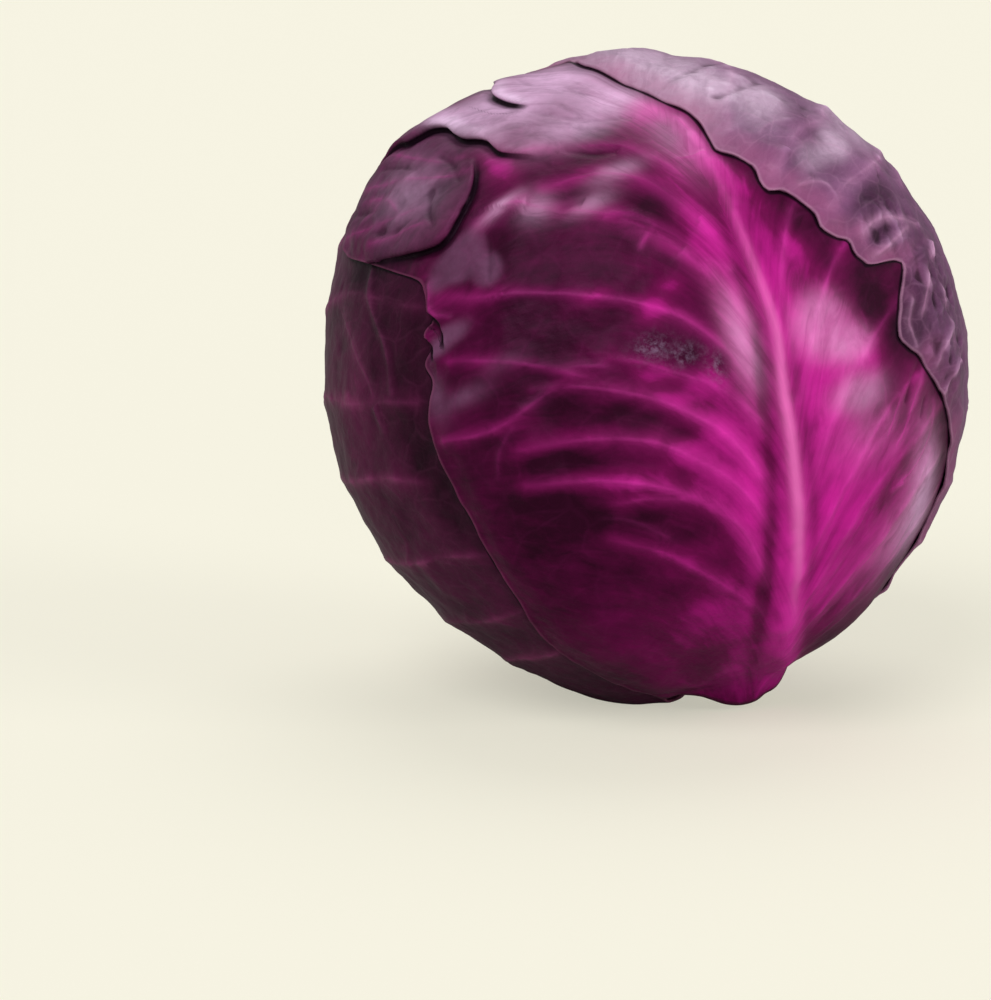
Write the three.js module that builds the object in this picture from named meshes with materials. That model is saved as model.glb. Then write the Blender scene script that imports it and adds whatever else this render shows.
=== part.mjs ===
// A head of red cabbage: three big outer leaves laid over a nest of inner leaves round a core.
// Millimetres, +Z up. The origin is the middle of the small flat spot that the head rests on.
//
// Directions are taken in the head's own frame: +Z runs from the stem to the crown, azimuth 0 is
// the head's front, and azimuth grows to the right. The polar angle is measured from the stem.
import * as THREE from "three";

// ---- Driving dimensions (millimetres and degrees) ----
const CENTRE_HEIGHT = 85.3; // head centre above the surface it rests on
const CENTRE_X = 4; // and beside the middle of the flat spot, which isn't quite under it
const CENTRE_Y = 6;
const LEAN = 16.5; // the head's axis leans over by this much
const LEAN_TOWARDS = 163; // in this direction, counted from +X
const BASE_RADIUS = 80.9; // of the nest under the three outer leaves
const NECK_RISE = 9; // how far the leaf bases stand out round the stem
const NECK_WIDTH = 10.5; // angle from the stem at which they slope down
const FOOT_RISE = 5.4; // how far the underside bulges where the head rests
const FOOT_WIDTH = 22;

const OUTER_THICKNESS = 1.7; // of an outer leaf at its middle
const RIM_THICKNESS = 1.0; // of any leaf at its margin
const OUTER_PITCH = 2.6; // from one outer leaf to the next one over it
const COVER_LIP = 3.5; // past a margin, the leaf over it is still at full height
const COVER_RAMP = 7.5; // and comes down again within this angle
const RIB_HEIGHT = 1.6; // of an outer leaf's midrib over its blade
const RIB_FADES = [95, 125]; // angles from the stem between which the midrib runs out

const INNER_COUNT = 18;
const INNER_THICKNESS = 1.4;
const INNER_START = 3.2; // from the base radius in to the first inner leaf
const INNER_PITCH = 3.8; // from one inner leaf to the next
const INNER_RISE = 0.9; // each leaf in is centred this much higher along the axis

const LAST_AZIMUTH = 162.5; // of the outermost leaf
const GOLDEN_ANGLE = 137.5; // from one leaf in to the next, round the axis
const LEAF_MIDDLE = 95; // polar angle of a leaf's middle
const STEMWARD_ROWS = 0.12; // how much closer the rows of facets lie towards the stem
const OUTER_GRID = 22; // facets across an outer leaf
const INNER_GRIDS = [4, 6]; // half of that on the smallest and on the largest inner leaf

const CORE_BUTT = 85.2; // from the head's centre down to the cut end of the stem
const CORE_TIP = 6; // from the head's centre up to the tip of the core
const CORE_RADIUS = 11; // at the cut end
const CORE_BELLY = 5; // how much thicker it gets, a little way in
const CORE_CLEARANCE = 1.6; // round the core, to every leaf
const CORE_ROWS = 12;
const CORE_SIDES = 24;
const BUD_RADIUS = 7;
const BUD_GAP = 0.5;

// ---- Small helpers ----
const radians = THREE.MathUtils.degToRad;
const degrees = THREE.MathUtils.radToDeg;
const { smoothstep, lerp } = THREE.MathUtils;

/** Value at an angle of a closed smooth curve through [angle, value] knots sorted by angle. */
function aroundKnots(knots, angle) {
  const turned = THREE.MathUtils.euclideanModulo(angle, 360);
  const [firstAt, firstValue] = knots[0];
  const looped = [...knots, [firstAt + 360, firstValue]];
  const next = looped.findIndex(([at]) => at > turned);
  const [fromAt, from] = looped[next - 1];
  const [toAt, to] = looped[next];
  return lerp(from, to, smoothstep(turned, fromAt, toAt));
}

// ---- The head's frame ----
const axis = new THREE.Vector3(
  Math.sin(radians(LEAN)) * Math.cos(radians(LEAN_TOWARDS)),
  Math.sin(radians(LEAN)) * Math.sin(radians(LEAN_TOWARDS)),
  Math.cos(radians(LEAN)),
);
const back = new THREE.Vector3(0, 1, 0).addScaledVector(axis, -axis.y).normalize();
const right = new THREE.Vector3().crossVectors(back, axis);
const headTurn = new THREE.Quaternion().setFromRotationMatrix(
  new THREE.Matrix4().makeBasis(right, back, axis),
);
const down = new THREE.Vector3(0, 0, -1).applyQuaternion(headTurn.clone().invert());
const stemward = new THREE.Vector3(0, 0, -1);

/** Unit direction from an azimuth and a polar angle. */
function headDirection(azimuth, polar) {
  const flat = Math.sin(radians(polar));
  return new THREE.Vector3(
    flat * Math.sin(radians(azimuth)),
    -flat * Math.cos(radians(azimuth)),
    -Math.cos(radians(polar)),
  );
}

// The nest is a ball with swellings. A higher power makes a flatter top with steeper sides.
const swellings = [
  { towards: stemward, rise: NECK_RISE, width: NECK_WIDTH, power: 4 },
  { towards: down, rise: FOOT_RISE, width: FOOT_WIDTH, power: 2 },
  { towards: headDirection(-88, 95), rise: 2.6, width: 38, power: 2 }, // the left flank
  { towards: headDirection(-90, 143), rise: 6, width: 26, power: 2 }, // the left shoulder
];

/** Radius of the nest under the outer leaves. */
function baseRadius(direction) {
  return swellings.reduce((radius, { towards, rise, width, power }) => {
    const away = degrees(towards.angleTo(direction)) / width;
    return radius + rise * Math.exp(-(away ** power));
  }, BASE_RADIUS);
}

/** How far from the centre the surface under the head lies in a direction. */
function floorRadius(direction) {
  const fall = direction.dot(down);
  return fall > 0.1 ? CENTRE_HEIGHT / fall : Infinity;
}

/** Radius of the core at a height along the axis from the head's centre. */
function coreRadius(height) {
  const up = THREE.MathUtils.clamp((height + CORE_BUTT) / (CORE_BUTT + CORE_TIP), 0, 1);
  return CORE_RADIUS * Math.sqrt(1 - up ** 1.6) + CORE_BELLY * Math.sin(Math.PI * Math.sqrt(up)) ** 2;
}

// ---- Leaves ----
// A leaf has a chart of polar coordinates round its own middle. Its outline is a list of
// [heading, reach]: heading 0 is the tip, 90 the side of growing azimuth and 180 the stem, and
// reach is the angle from the leaf's middle out to its margin.
function makeLeaf(name, order, outline, rest) {
  const turn = radians(LAST_AZIMUTH - order * GOLDEN_ANGLE);
  const tilt = radians(LEAF_MIDDLE);
  const side = new THREE.Vector3(Math.cos(turn), Math.sin(turn), 0);
  const outward = new THREE.Vector3(Math.sin(turn), -Math.cos(turn), 0);
  const middle = new THREE.Vector3()
    .addScaledVector(outward, Math.sin(tilt))
    .addScaledVector(stemward, Math.cos(tilt));
  const tipward = new THREE.Vector3()
    .addScaledVector(outward, Math.cos(tilt))
    .addScaledVector(stemward, -Math.sin(tilt));
  return { name, outline, middle, side, tipward, ...rest };
}

/** Unit direction of a place on a leaf, a share (0 to 1) of the way out to its margin. */
function leafDirection(leaf, heading, share) {
  const reach = radians(aroundKnots(leaf.outline, heading) * share);
  const across = Math.sin(reach) * Math.sin(radians(heading));
  const along = Math.sin(reach) * Math.cos(radians(heading));
  return new THREE.Vector3()
    .addScaledVector(leaf.middle, Math.cos(reach))
    .addScaledVector(leaf.side, across)
    .addScaledVector(leaf.tipward, along);
}

/** 1 where a leaf is, falling to 0 a little way outside its margin. */
function cover(leaf, direction) {
  const heading = degrees(Math.atan2(direction.dot(leaf.side), direction.dot(leaf.tipward)));
  const past = degrees(leaf.middle.angleTo(direction)) - aroundKnots(leaf.outline, heading);
  return 1 - smoothstep(past, COVER_LIP, COVER_LIP + COVER_RAMP);
}

/** Outline knots round the stem, where a leaf of a given size ends in an arc round the core. */
function neckKnots(size, rise) {
  const bottom = rise - size;
  const thickest = Math.max(coreRadius(bottom), coreRadius(bottom + CORE_RADIUS / 2));
  const polar = degrees(Math.asin((thickest + CORE_CLEARANCE) / size));
  const reach = LEAF_MIDDLE - polar;
  return [
    [180 - 1.3 * polar, reach],
    [180 + 1.3 * polar, reach],
  ];
}

/** One closed shell from a leaf's outer skin, its inner skin and the margin between them. */
function leafGeometry(leaf) {
  const { grid } = leaf;
  const across = grid + 1;
  const positions = [];
  for (const skin of ["outer", "inner"]) {
    for (let row = 0; row <= grid; row++) {
      for (let column = 0; column <= grid; column++) {
        const u = (2 * column) / grid - 1;
        const even = (2 * row) / grid - 1;
        const v = even - STEMWARD_ROWS * (1 - even * even);
        const x = u * Math.sqrt(1 - (v * v) / 2); // a square grid pushed into a disc
        const y = v * Math.sqrt(1 - (u * u) / 2);
        const share = Math.hypot(x, y);
        const heading = degrees(Math.atan2(x, y));
        const direction = leafDirection(leaf, heading, share);
        const thickness = lerp(leaf.thickness, RIM_THICKNESS, share ** 4);
        const onRib = skin === "outer" && column * 2 === grid && row > 0;
        const rib = onRib ? leaf.rib(direction) : 0;
        const radius = leaf.radius(direction) + rib - (skin === "inner" ? thickness : 0);
        const place = direction.multiplyScalar(radius);
        positions.push(place.x, place.y, place.z + leaf.rise);
      }
    }
  }
  const index = [];
  const quad = (a, b, c, d) => index.push(a, b, c, a, c, d);
  const inner = across * across;
  for (let row = 0; row < grid; row++) {
    for (let column = 0; column < grid; column++) {
      const a = row * across + column;
      quad(a, a + 1, a + across + 1, a + across);
      quad(inner + a, inner + a + across, inner + a + across + 1, inner + a + 1);
    }
  }
  for (let step = 0; step < grid; step++) {
    const top = grid * across + step;
    const left = step * across;
    const rightEdge = left + grid;
    quad(step + 1, step, inner + step, inner + step + 1);
    quad(top, top + 1, inner + top + 1, inner + top);
    quad(left, left + across, inner + left + across, inner + left);
    quad(rightEdge + across, rightEdge, inner + rightEdge, inner + rightEdge + across);
  }
  const geometry = new THREE.BufferGeometry();
  geometry.setAttribute("position", new THREE.Float32BufferAttribute(positions, 3));
  geometry.setIndex(index);
  geometry.computeVertexNormals();
  return geometry;
}

// The outer leaves, from the lowest to the top one. Each is lifted by the leaves under it, and
// each is pressed up by the floor and by the leaves between it and the floor.
const outerNeck = neckKnots(BASE_RADIUS + NECK_RISE, 0);
const outerRest = { grid: OUTER_GRID, thickness: OUTER_THICKNESS, rise: 0 };
const outerLeaves = [
  makeLeaf(
    "outer_leaf_left",
    2,
    [[0, 95], [45, 90], [90, 88], [150, 89], ...outerNeck, [212, 89], [270, 85], [315, 90]],
    { ...outerRest, colour: 0x4a2440 },
  ),
  makeLeaf(
    "outer_leaf_front",
    1,
    [[0, 92], [50, 85], [90, 80], [148, 88], ...outerNeck, [212, 82], [235, 70], [262, 64], [290, 61], [312, 93]],
    { ...outerRest, colour: 0x9a1478 },
  ),
  makeLeaf(
    "outer_leaf_back",
    0,
    [
      [0, 84], [50, 82], [85, 78], [150, 76], ...outerNeck,
      [212, 92], [236, 101], [256, 102], [268, 109], [280, 104], [289, 113], [307, 117],
      [320, 116], [334, 108], [349, 100],
    ],
    { ...outerRest, colour: 0x8e6a90 },
  ),
];
outerLeaves.forEach((leaf, layer) => {
  const lifted = (direction, leaves) =>
    leaves.reduce((height, other) => height + OUTER_PITCH * cover(other, direction), 0);
  leaf.radius = (direction) =>
    Math.min(
      baseRadius(direction) + OUTER_THICKNESS + lifted(direction, outerLeaves.slice(0, layer)),
      floorRadius(direction) - lifted(direction, outerLeaves.slice(layer + 1)),
    );
  leaf.rib = (direction) => {
    const polar = degrees(stemward.angleTo(direction));
    const bare = outerLeaves.slice(layer + 1).every((other) => cover(other, direction) === 0);
    const offFloor = leaf.radius(direction) + RIB_HEIGHT < floorRadius(direction);
    return bare && offFloor ? RIB_HEIGHT * (1 - smoothstep(polar, ...RIB_FADES)) : 0;
  };
});

// The inner leaves, from the outside in: nested shells, each smaller and a little higher.
const innerColour = new THREE.Color(0x7a1e66);
const heartColour = new THREE.Color(0xe6d3dc);
const innerLeaves = Array.from({ length: INNER_COUNT }, (_, number) => {
  const size = BASE_RADIUS - INNER_START - number * INNER_PITCH;
  const rise = number * INNER_RISE;
  const neck = neckKnots(size, rise);
  return makeLeaf(
    `inner_leaf_${String(number + 1).padStart(2, "0")}`,
    outerLeaves.length + number,
    [[0, 98], [60, 92], [110, 86], ...neck, [250, 86], [300, 92]],
    {
      grid: 2 * Math.round(lerp(...INNER_GRIDS, size / BASE_RADIUS)),
      thickness: INNER_THICKNESS,
      rise,
      colour: innerColour.clone().lerp(heartColour, number / INNER_COUNT),
      radius: (direction) => (size / BASE_RADIUS) * baseRadius(direction),
      rib: () => 0,
    },
  );
});

// ---- Core and heart bud ----
/** The stem's cut end and the cone that rises from it into the head. */
function coreGeometry() {
  const profile = [new THREE.Vector2(0, -CORE_BUTT)];
  for (let row = 0; row <= CORE_ROWS; row++) {
    const height = lerp(-CORE_BUTT, CORE_TIP, row / CORE_ROWS);
    profile.push(new THREE.Vector2(coreRadius(height), height));
  }
  return new THREE.LatheGeometry(profile, CORE_SIDES).rotateX(Math.PI / 2);
}

/** The tight bud of unopened leaves that sits on the core's tip. */
function budGeometry() {
  const height = CORE_TIP + BUD_GAP + BUD_RADIUS;
  return new THREE.SphereGeometry(BUD_RADIUS, 16, 10).rotateX(Math.PI / 2).translate(0, 0, height);
}

// ---- The head ----
function addPiece(group, name, geometry, colour, roughness) {
  const mesh = new THREE.Mesh(geometry, new THREE.MeshStandardMaterial({ color: colour, roughness }));
  mesh.name = name;
  group.add(mesh);
}

const head = new THREE.Group();
head.quaternion.copy(headTurn);
head.position.set(CENTRE_X, CENTRE_Y, CENTRE_HEIGHT);
for (const leaf of outerLeaves) addPiece(head, leaf.name, leafGeometry(leaf), leaf.colour, 0.4);
for (const leaf of innerLeaves) addPiece(head, leaf.name, leafGeometry(leaf), leaf.colour, 0.45);
addPiece(head, "core", coreGeometry(), 0xf0e6cf, 0.6);
addPiece(head, "heart_bud", budGeometry(), 0xd9b3cc, 0.5);

const cabbage = new THREE.Group();
cabbage.add(head);
export default cabbage;
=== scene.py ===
"""A head of red cabbage: three big outer leaves over a nest of inner leaves round a core.

Lengths are in millimetres and angles in degrees, where nothing else is said. Shapes are worked out
in the head's own frame, whose +Z runs from the stem to the crown, and are turned into the model's
frame in metres when a mesh is made. Azimuth 0 is the head's front and azimuth grows to the right.
Polar angles are measured from the stem.

A leaf has two sets of coordinates. Its chart is polar: heading 0 is the tip, 90 the side of
growing azimuth and 180 the stem, and the distance is the angle from the leaf's middle. Its veins,
folds and colours are placed by (lean, rise): rise is the angle from the stem along the midrib,
and lean is the angle away from the midrib, positive towards growing azimuth.
"""

from __future__ import annotations

import logging
import math
from collections.abc import Sequence
from dataclasses import dataclass, field
from enum import Enum

import bmesh
import bpy
import numpy as np
from bpy.types import Material, Mesh, Node, Object, Scene, World
from bpy.types import NodeSocket as Socket
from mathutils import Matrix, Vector
from numpy.typing import NDArray

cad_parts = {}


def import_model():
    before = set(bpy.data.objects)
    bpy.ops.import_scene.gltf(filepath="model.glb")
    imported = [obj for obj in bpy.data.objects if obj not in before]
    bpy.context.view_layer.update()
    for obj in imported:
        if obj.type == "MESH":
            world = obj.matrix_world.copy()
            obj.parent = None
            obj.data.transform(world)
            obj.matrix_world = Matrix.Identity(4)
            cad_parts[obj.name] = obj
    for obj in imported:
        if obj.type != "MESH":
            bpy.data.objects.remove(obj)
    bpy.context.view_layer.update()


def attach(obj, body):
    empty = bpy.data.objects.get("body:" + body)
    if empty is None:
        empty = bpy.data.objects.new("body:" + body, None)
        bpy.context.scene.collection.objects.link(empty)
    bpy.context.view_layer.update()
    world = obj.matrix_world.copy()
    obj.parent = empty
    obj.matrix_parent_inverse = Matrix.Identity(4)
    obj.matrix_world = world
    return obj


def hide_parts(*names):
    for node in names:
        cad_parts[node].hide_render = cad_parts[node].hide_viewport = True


log = logging.getLogger("red_cabbage")

Array = NDArray[np.float64]
Spot = tuple[float, float]
Colour = tuple[float, float, float]

MM = 0.001
STEMWARD = np.array([0.0, 0.0, -1.0])
BODY = "root"


# ---- Small numeric helpers ----
def smoothstep(value: Array, low: float | Array, high: float | Array) -> Array:
    """Ease from 0 at low to 1 at high."""
    share = np.clip((value - low) / (high - low), 0.0, 1.0)
    return share * share * (3.0 - 2.0 * share)


def fade(value: Array, low: float | Array, high: float | Array) -> Array:
    """Ease from 1 at low to 0 at high."""
    return 1.0 - smoothstep(value, low, high)


def bell(value: Array, width: float) -> Array:
    """Return a soft bump that is 1 at 0 and fades over width."""
    return np.exp(-((value / width) ** 2))


def unit(vectors: Array) -> Array:
    """Return the vectors scaled to length 1."""
    return vectors / np.linalg.norm(vectors, axis=-1, keepdims=True)


def angle_between(directions: Array, towards: Array) -> Array:
    """Return the angle from each unit direction to one unit direction."""
    return np.degrees(np.arccos(np.clip(directions @ towards, -1.0, 1.0)))


def curved(share: Array, start: Array, end: Array, slope: Array, next_slope: Array) -> Array:
    """Return the values a share of the way along a smooth curve with these ends and slopes."""
    return (
        (2 * share**3 - 3 * share**2 + 1) * start
        + (share**3 - 2 * share**2 + share) * slope
        + (3 * share**2 - 2 * share**3) * end
        + (share**3 - share**2) * next_slope
    )


def around_knots(knots: Sequence[Spot], angle: Array) -> Array:
    """Read a closed smooth curve given by [angle, value] knots.

    Args:
        knots: Angle and value of each knot, sorted by angle from 0.
        angle: Angles to read the curve at.

    Returns:
        The curve's value at each angle.
    """
    inside = np.array(knots, dtype=float)
    before, after = inside[-2:] - (360.0, 0.0), inside[:3] + (360.0, 0.0)
    at, value = np.vstack([before, inside, after]).T
    slope = np.zeros(len(at))
    slope[1:-1] = (value[2:] - value[:-2]) / (at[2:] - at[:-2])
    turned = np.mod(angle - knots[0][0], 360.0) + knots[0][0]
    end = np.clip(np.searchsorted(at, turned, side="right"), 3, len(inside) + 2)
    start = end - 1
    gap = at[end] - at[start]
    share = np.clip((turned - at[start]) / gap, 0.0, 1.0)
    return curved(share, value[start], value[end], gap * slope[start], gap * slope[end])


def mesh_of(name: str, built: bmesh.types.BMesh) -> Mesh:
    """Make a mesh of what was built, and free the latter.

    Args:
        name: Name of the mesh.
        built: What was built.

    Returns:
        The mesh.
    """
    mesh = bpy.data.meshes.new(name)
    built.to_mesh(mesh)
    built.free()
    return mesh


def corners_of(mesh: Mesh) -> Array:
    """Return a mesh's corners, one row of three each."""
    corners = np.empty(len(mesh.vertices) * 3)
    mesh.vertices.foreach_get("co", corners)
    return corners.reshape(-1, 3)


@dataclass(frozen=True)
class Piece:
    """What a piece of the scene is called and what it stands for.

    Attributes:
        name: Its name.
        node: The solid that it replaces.
        slot: The record's slot that its finish belongs to. It is not used.
    """

    name: str
    node: str
    slot: str

    def put(self, mesh: Mesh, corners: Array, material: Material) -> Object:
        """Move a mesh's corners into place and make it a smooth piece that rides on the body.

        Args:
            mesh: The mesh.
            corners: Its corners in the model's frame.
            material: Its finish.

        Returns:
            The piece.
        """
        mesh.vertices.foreach_set("co", corners.ravel())
        mesh.polygons.foreach_set("use_smooth", np.ones(len(mesh.polygons), dtype=bool))
        mesh.update()
        mesh.name = self.name
        mesh.materials.append(material)
        piece = bpy.data.objects.new(self.name, mesh)
        bpy.context.scene.collection.objects.link(piece)
        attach(piece, BODY)
        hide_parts(self.node)
        return piece


LATTICE = 256
NOISE_GAIN = 1.6


@dataclass(frozen=True)
class Mottle:
    """Smooth noise in space, the same on every run.

    Attributes:
        scale: Size of the largest blotches, in the units of the points.
        octaves: How many finer layers are added, each half as large and half as strong.
        seed: Picks the pattern.
    """

    scale: float
    octaves: int = 3
    seed: int = 0

    def at(self, points: Array) -> Array:
        """Return noise of about -1 to 1 at each point.

        Args:
            points: Places in space, one row of three each.

        Returns:
            One value for each point.
        """
        total = np.zeros(len(points))
        strength, size = 1.0, self.scale
        for octave in range(self.octaves):
            total += strength * self._layer(points / size, self.seed * 31 + octave)
            strength, size = strength / 2.0, size / 2.0
        return total

    @staticmethod
    def _layer(points: Array, seed: int) -> Array:
        """Work out one layer of gradient noise.

        Args:
            points: Places, in lattice steps.
            seed: Picks the layer.

        Returns:
            One value for each point.
        """
        gradients = unit(np.random.default_rng(seed).normal(size=(LATTICE, 3)))
        shuffle = np.random.default_rng(seed + 1).permutation(LATTICE)
        cell = np.floor(points).astype(int)
        inside = points - cell
        ease = inside**3 * (inside * (inside * 6.0 - 15.0) + 10.0)
        total = np.zeros(len(points))
        for corner in np.ndindex(2, 2, 2):
            slot = 0
            for steps in (cell + corner).T:
                slot = shuffle[(slot + steps) % LATTICE]
            reach = np.einsum("ij,ij->i", gradients[slot], inside - corner)
            weight = np.prod(np.where(np.array(corner) == 1, ease, 1.0 - ease), axis=1)
            total += weight * reach
        return total * NOISE_GAIN


# ---- The head's shape under its leaves ----
@dataclass(frozen=True)
class Swelling:
    """A soft rise of the head's surface.

    Attributes:
        towards: Unit direction of its middle.
        rise: Height.
        width: Angle at which it has mostly faded.
        power: A higher power makes a flatter top with steeper sides.
    """

    towards: Array
    rise: float
    width: float
    power: float = 2.0


@dataclass
class HeadShape:
    """The frame and the surface that every leaf is laid on.

    Attributes:
        centre: Middle of the head above the middle of its resting spot.
        lean: How far the head's axis leans over.
        lean_towards: Direction of that lean, counted from +X.
        base: Radius of the nest under the outer leaves.
        neck_rise: How far the leaf bases stand out round the stem.
        neck_width: Angle from the stem at which they slope down.
        foot_rise: How far the underside bulges where the head rests.
        foot_width: Angle over which that bulge fades.
    """

    centre: Array = field(default_factory=lambda: np.array([4.0, 6.0, 85.3]))
    lean: float = 16.5
    lean_towards: float = 163.0
    base: float = 80.9
    neck_rise: float = 9.0
    neck_width: float = 10.5
    foot_rise: float = 5.4
    foot_width: float = 22.0

    def __post_init__(self) -> None:
        """Work out the axes and the swellings."""
        tilt, turn = math.radians(self.lean), math.radians(self.lean_towards)
        flat = math.sin(tilt)
        axis = np.array([flat * math.cos(turn), flat * math.sin(turn), math.cos(tilt)])
        back = unit(np.array([0.0, 1.0, 0.0]) - axis * axis[1])
        self.turn = np.column_stack([np.cross(back, axis), back, axis])
        self.down = self.turn.T @ np.array([0.0, 0.0, -1.0])
        self.swellings = [
            Swelling(STEMWARD, self.neck_rise, self.neck_width, 4.0),
            Swelling(self.down, self.foot_rise, self.foot_width),
            Swelling(self.direction(-88.0, 95.0), 2.6, 38.0),
            Swelling(self.direction(-90.0, 143.0), 6.0, 26.0),
            Swelling(self.direction(68.0, 24.0), 2.6, 13.0),
        ]

    @staticmethod
    def direction(azimuth: float, polar: float) -> Array:
        """Return the unit direction of an azimuth and a polar angle."""
        flat, turn = math.sin(math.radians(polar)), math.radians(azimuth)
        return np.array([flat * math.sin(turn), -flat * math.cos(turn), -math.cos(math.radians(polar))])

    def base_radius(self, directions: Array) -> Array:
        """Measure the nest under the outer leaves.

        Args:
            directions: Unit directions.

        Returns:
            Its radius in each direction.
        """
        radius = np.full(len(directions), self.base)
        for swelling in self.swellings:
            away = angle_between(directions, swelling.towards) / swelling.width
            radius += swelling.rise * np.exp(-(away**swelling.power))
        return radius

    def floor_radius(self, directions: Array) -> Array:
        """Return how far the surface under the head lies in each direction."""
        fall = directions @ self.down
        return np.where(fall > 0.1, self.centre[2] / np.maximum(fall, 0.1), 1000.0)

    def to_model(self, places: Array) -> Array:
        """Turn places in the head's frame into metres in the model's frame."""
        return (places @ self.turn.T + self.centre) * MM


# ---- A leaf's coordinates, lines and colours ----
OUTER_RADIUS = 84.0
GOLDEN_ANGLE = 137.5
LAST_AZIMUTH = 162.5
LEAF_MIDDLE = 95.0


class Placing(Enum):
    """How the marks on a leaf are placed, always with the midrib at 0 across.

    MIDRIB places them by lean and rise. FLAT places them on the leaf's chart laid flat, which
    keeps its proportions out to the margin of a leaf that wraps right round the head.
    """

    MIDRIB = "lean and rise"
    FLAT = "flat chart"


@dataclass
class LeafChart:
    """Where a leaf lies on the head.

    Attributes:
        order: Place in the spiral, 0 for the outermost leaf.
        outline: Knots of [heading, reach] round the leaf's middle.
    """

    order: int
    outline: Sequence[Spot]

    def __post_init__(self) -> None:
        """Work out the leaf's own axes."""
        turn = math.radians(LAST_AZIMUTH - self.order * GOLDEN_ANGLE)
        tilt = math.radians(LEAF_MIDDLE)
        self.side = np.array([math.cos(turn), math.sin(turn), 0.0])
        self.outward = np.array([math.sin(turn), -math.cos(turn), 0.0])
        self.middle = self.outward * math.sin(tilt) + STEMWARD * math.cos(tilt)
        self.tipward = self.outward * math.cos(tilt) - STEMWARD * math.sin(tilt)

    def reach(self, heading: Array, share: Array) -> Array:
        """Return how far from the middle places a share of the way out to the margin are.

        The small waves of the margin only show near it.
        """
        margin = around_knots(self.outline, heading)
        turns = range(-16, 17, 4)
        smooth = np.mean([around_knots(self.outline, heading + turn) for turn in turns], axis=0)
        return share * smooth + (margin - smooth) * share**8

    def from_margin(self, heading: Array, reach: Array) -> Array:
        """Measure how far from the margin places are.

        Args:
            heading: Their headings.
            reach: How far from the middle they are.

        Returns:
            The distance of each, positive outside the leaf.
        """
        margin, step = around_knots(self.outline, heading), 0.7
        rise = around_knots(self.outline, heading + step) - around_knots(self.outline, heading - step)
        slope = np.radians(rise) / (math.radians(2.0 * step) * np.maximum(np.sin(np.radians(margin)), 0.2))
        return (reach - margin) / np.sqrt(1.0 + np.minimum(slope**2, 8.0))

    def directions(self, heading: Array, reach: Array) -> Array:
        """Return unit directions of places by heading and reach."""
        reach, turn = np.radians(reach), np.radians(heading)
        return (
            np.outer(np.cos(reach), self.middle)
            + np.outer(np.sin(reach) * np.sin(turn), self.side)
            + np.outer(np.sin(reach) * np.cos(turn), self.tipward)
        )

    def past_margin(self, directions: Array) -> Array:
        """Return how far outside the leaf each direction lies."""
        heading = np.degrees(np.arctan2(directions @ self.side, directions @ self.tipward))
        return self.from_margin(heading, angle_between(directions, self.middle))

    def across_and_up(self, directions: Array, placing: Placing) -> tuple[Array, Array]:
        """Measure where directions lie on the leaf.

        Args:
            directions: Unit directions.
            placing: How marks are placed on the leaf.

        Returns:
            How far across and how far up each one lies.
        """
        if placing is Placing.FLAT:
            side, tip = directions @ self.side, directions @ self.tipward
            reach = angle_between(directions, self.middle) / np.maximum(np.hypot(side, tip), 1e-6)
            return reach * side, reach * tip + LEAF_MIDDLE
        lean = np.degrees(np.arcsin(np.clip(directions @ self.side, -1.0, 1.0)))
        rise = np.degrees(np.arctan2(directions @ self.outward, -directions[:, 2]))
        return lean, np.mod(rise + 60.0, 360.0) - 60.0

    def spots(self, places: Array, placing: Placing) -> Array:
        """Turn marks on the leaf into directions.

        Args:
            places: Rows of across and up.
            placing: How marks are placed on the leaf.

        Returns:
            Their unit directions.
        """
        if placing is Placing.FLAT:
            across, up = places[:, 0], places[:, 1] - LEAF_MIDDLE
            return self.directions(np.degrees(np.arctan2(across, up)), np.hypot(across, up))
        lean, rise = np.radians(places[:, 0]), np.radians(places[:, 1])
        along = np.outer(np.cos(rise), STEMWARD) + np.outer(np.sin(rise), self.outward)
        return along * np.cos(lean)[:, None] + np.outer(np.sin(lean), self.side)


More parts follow.
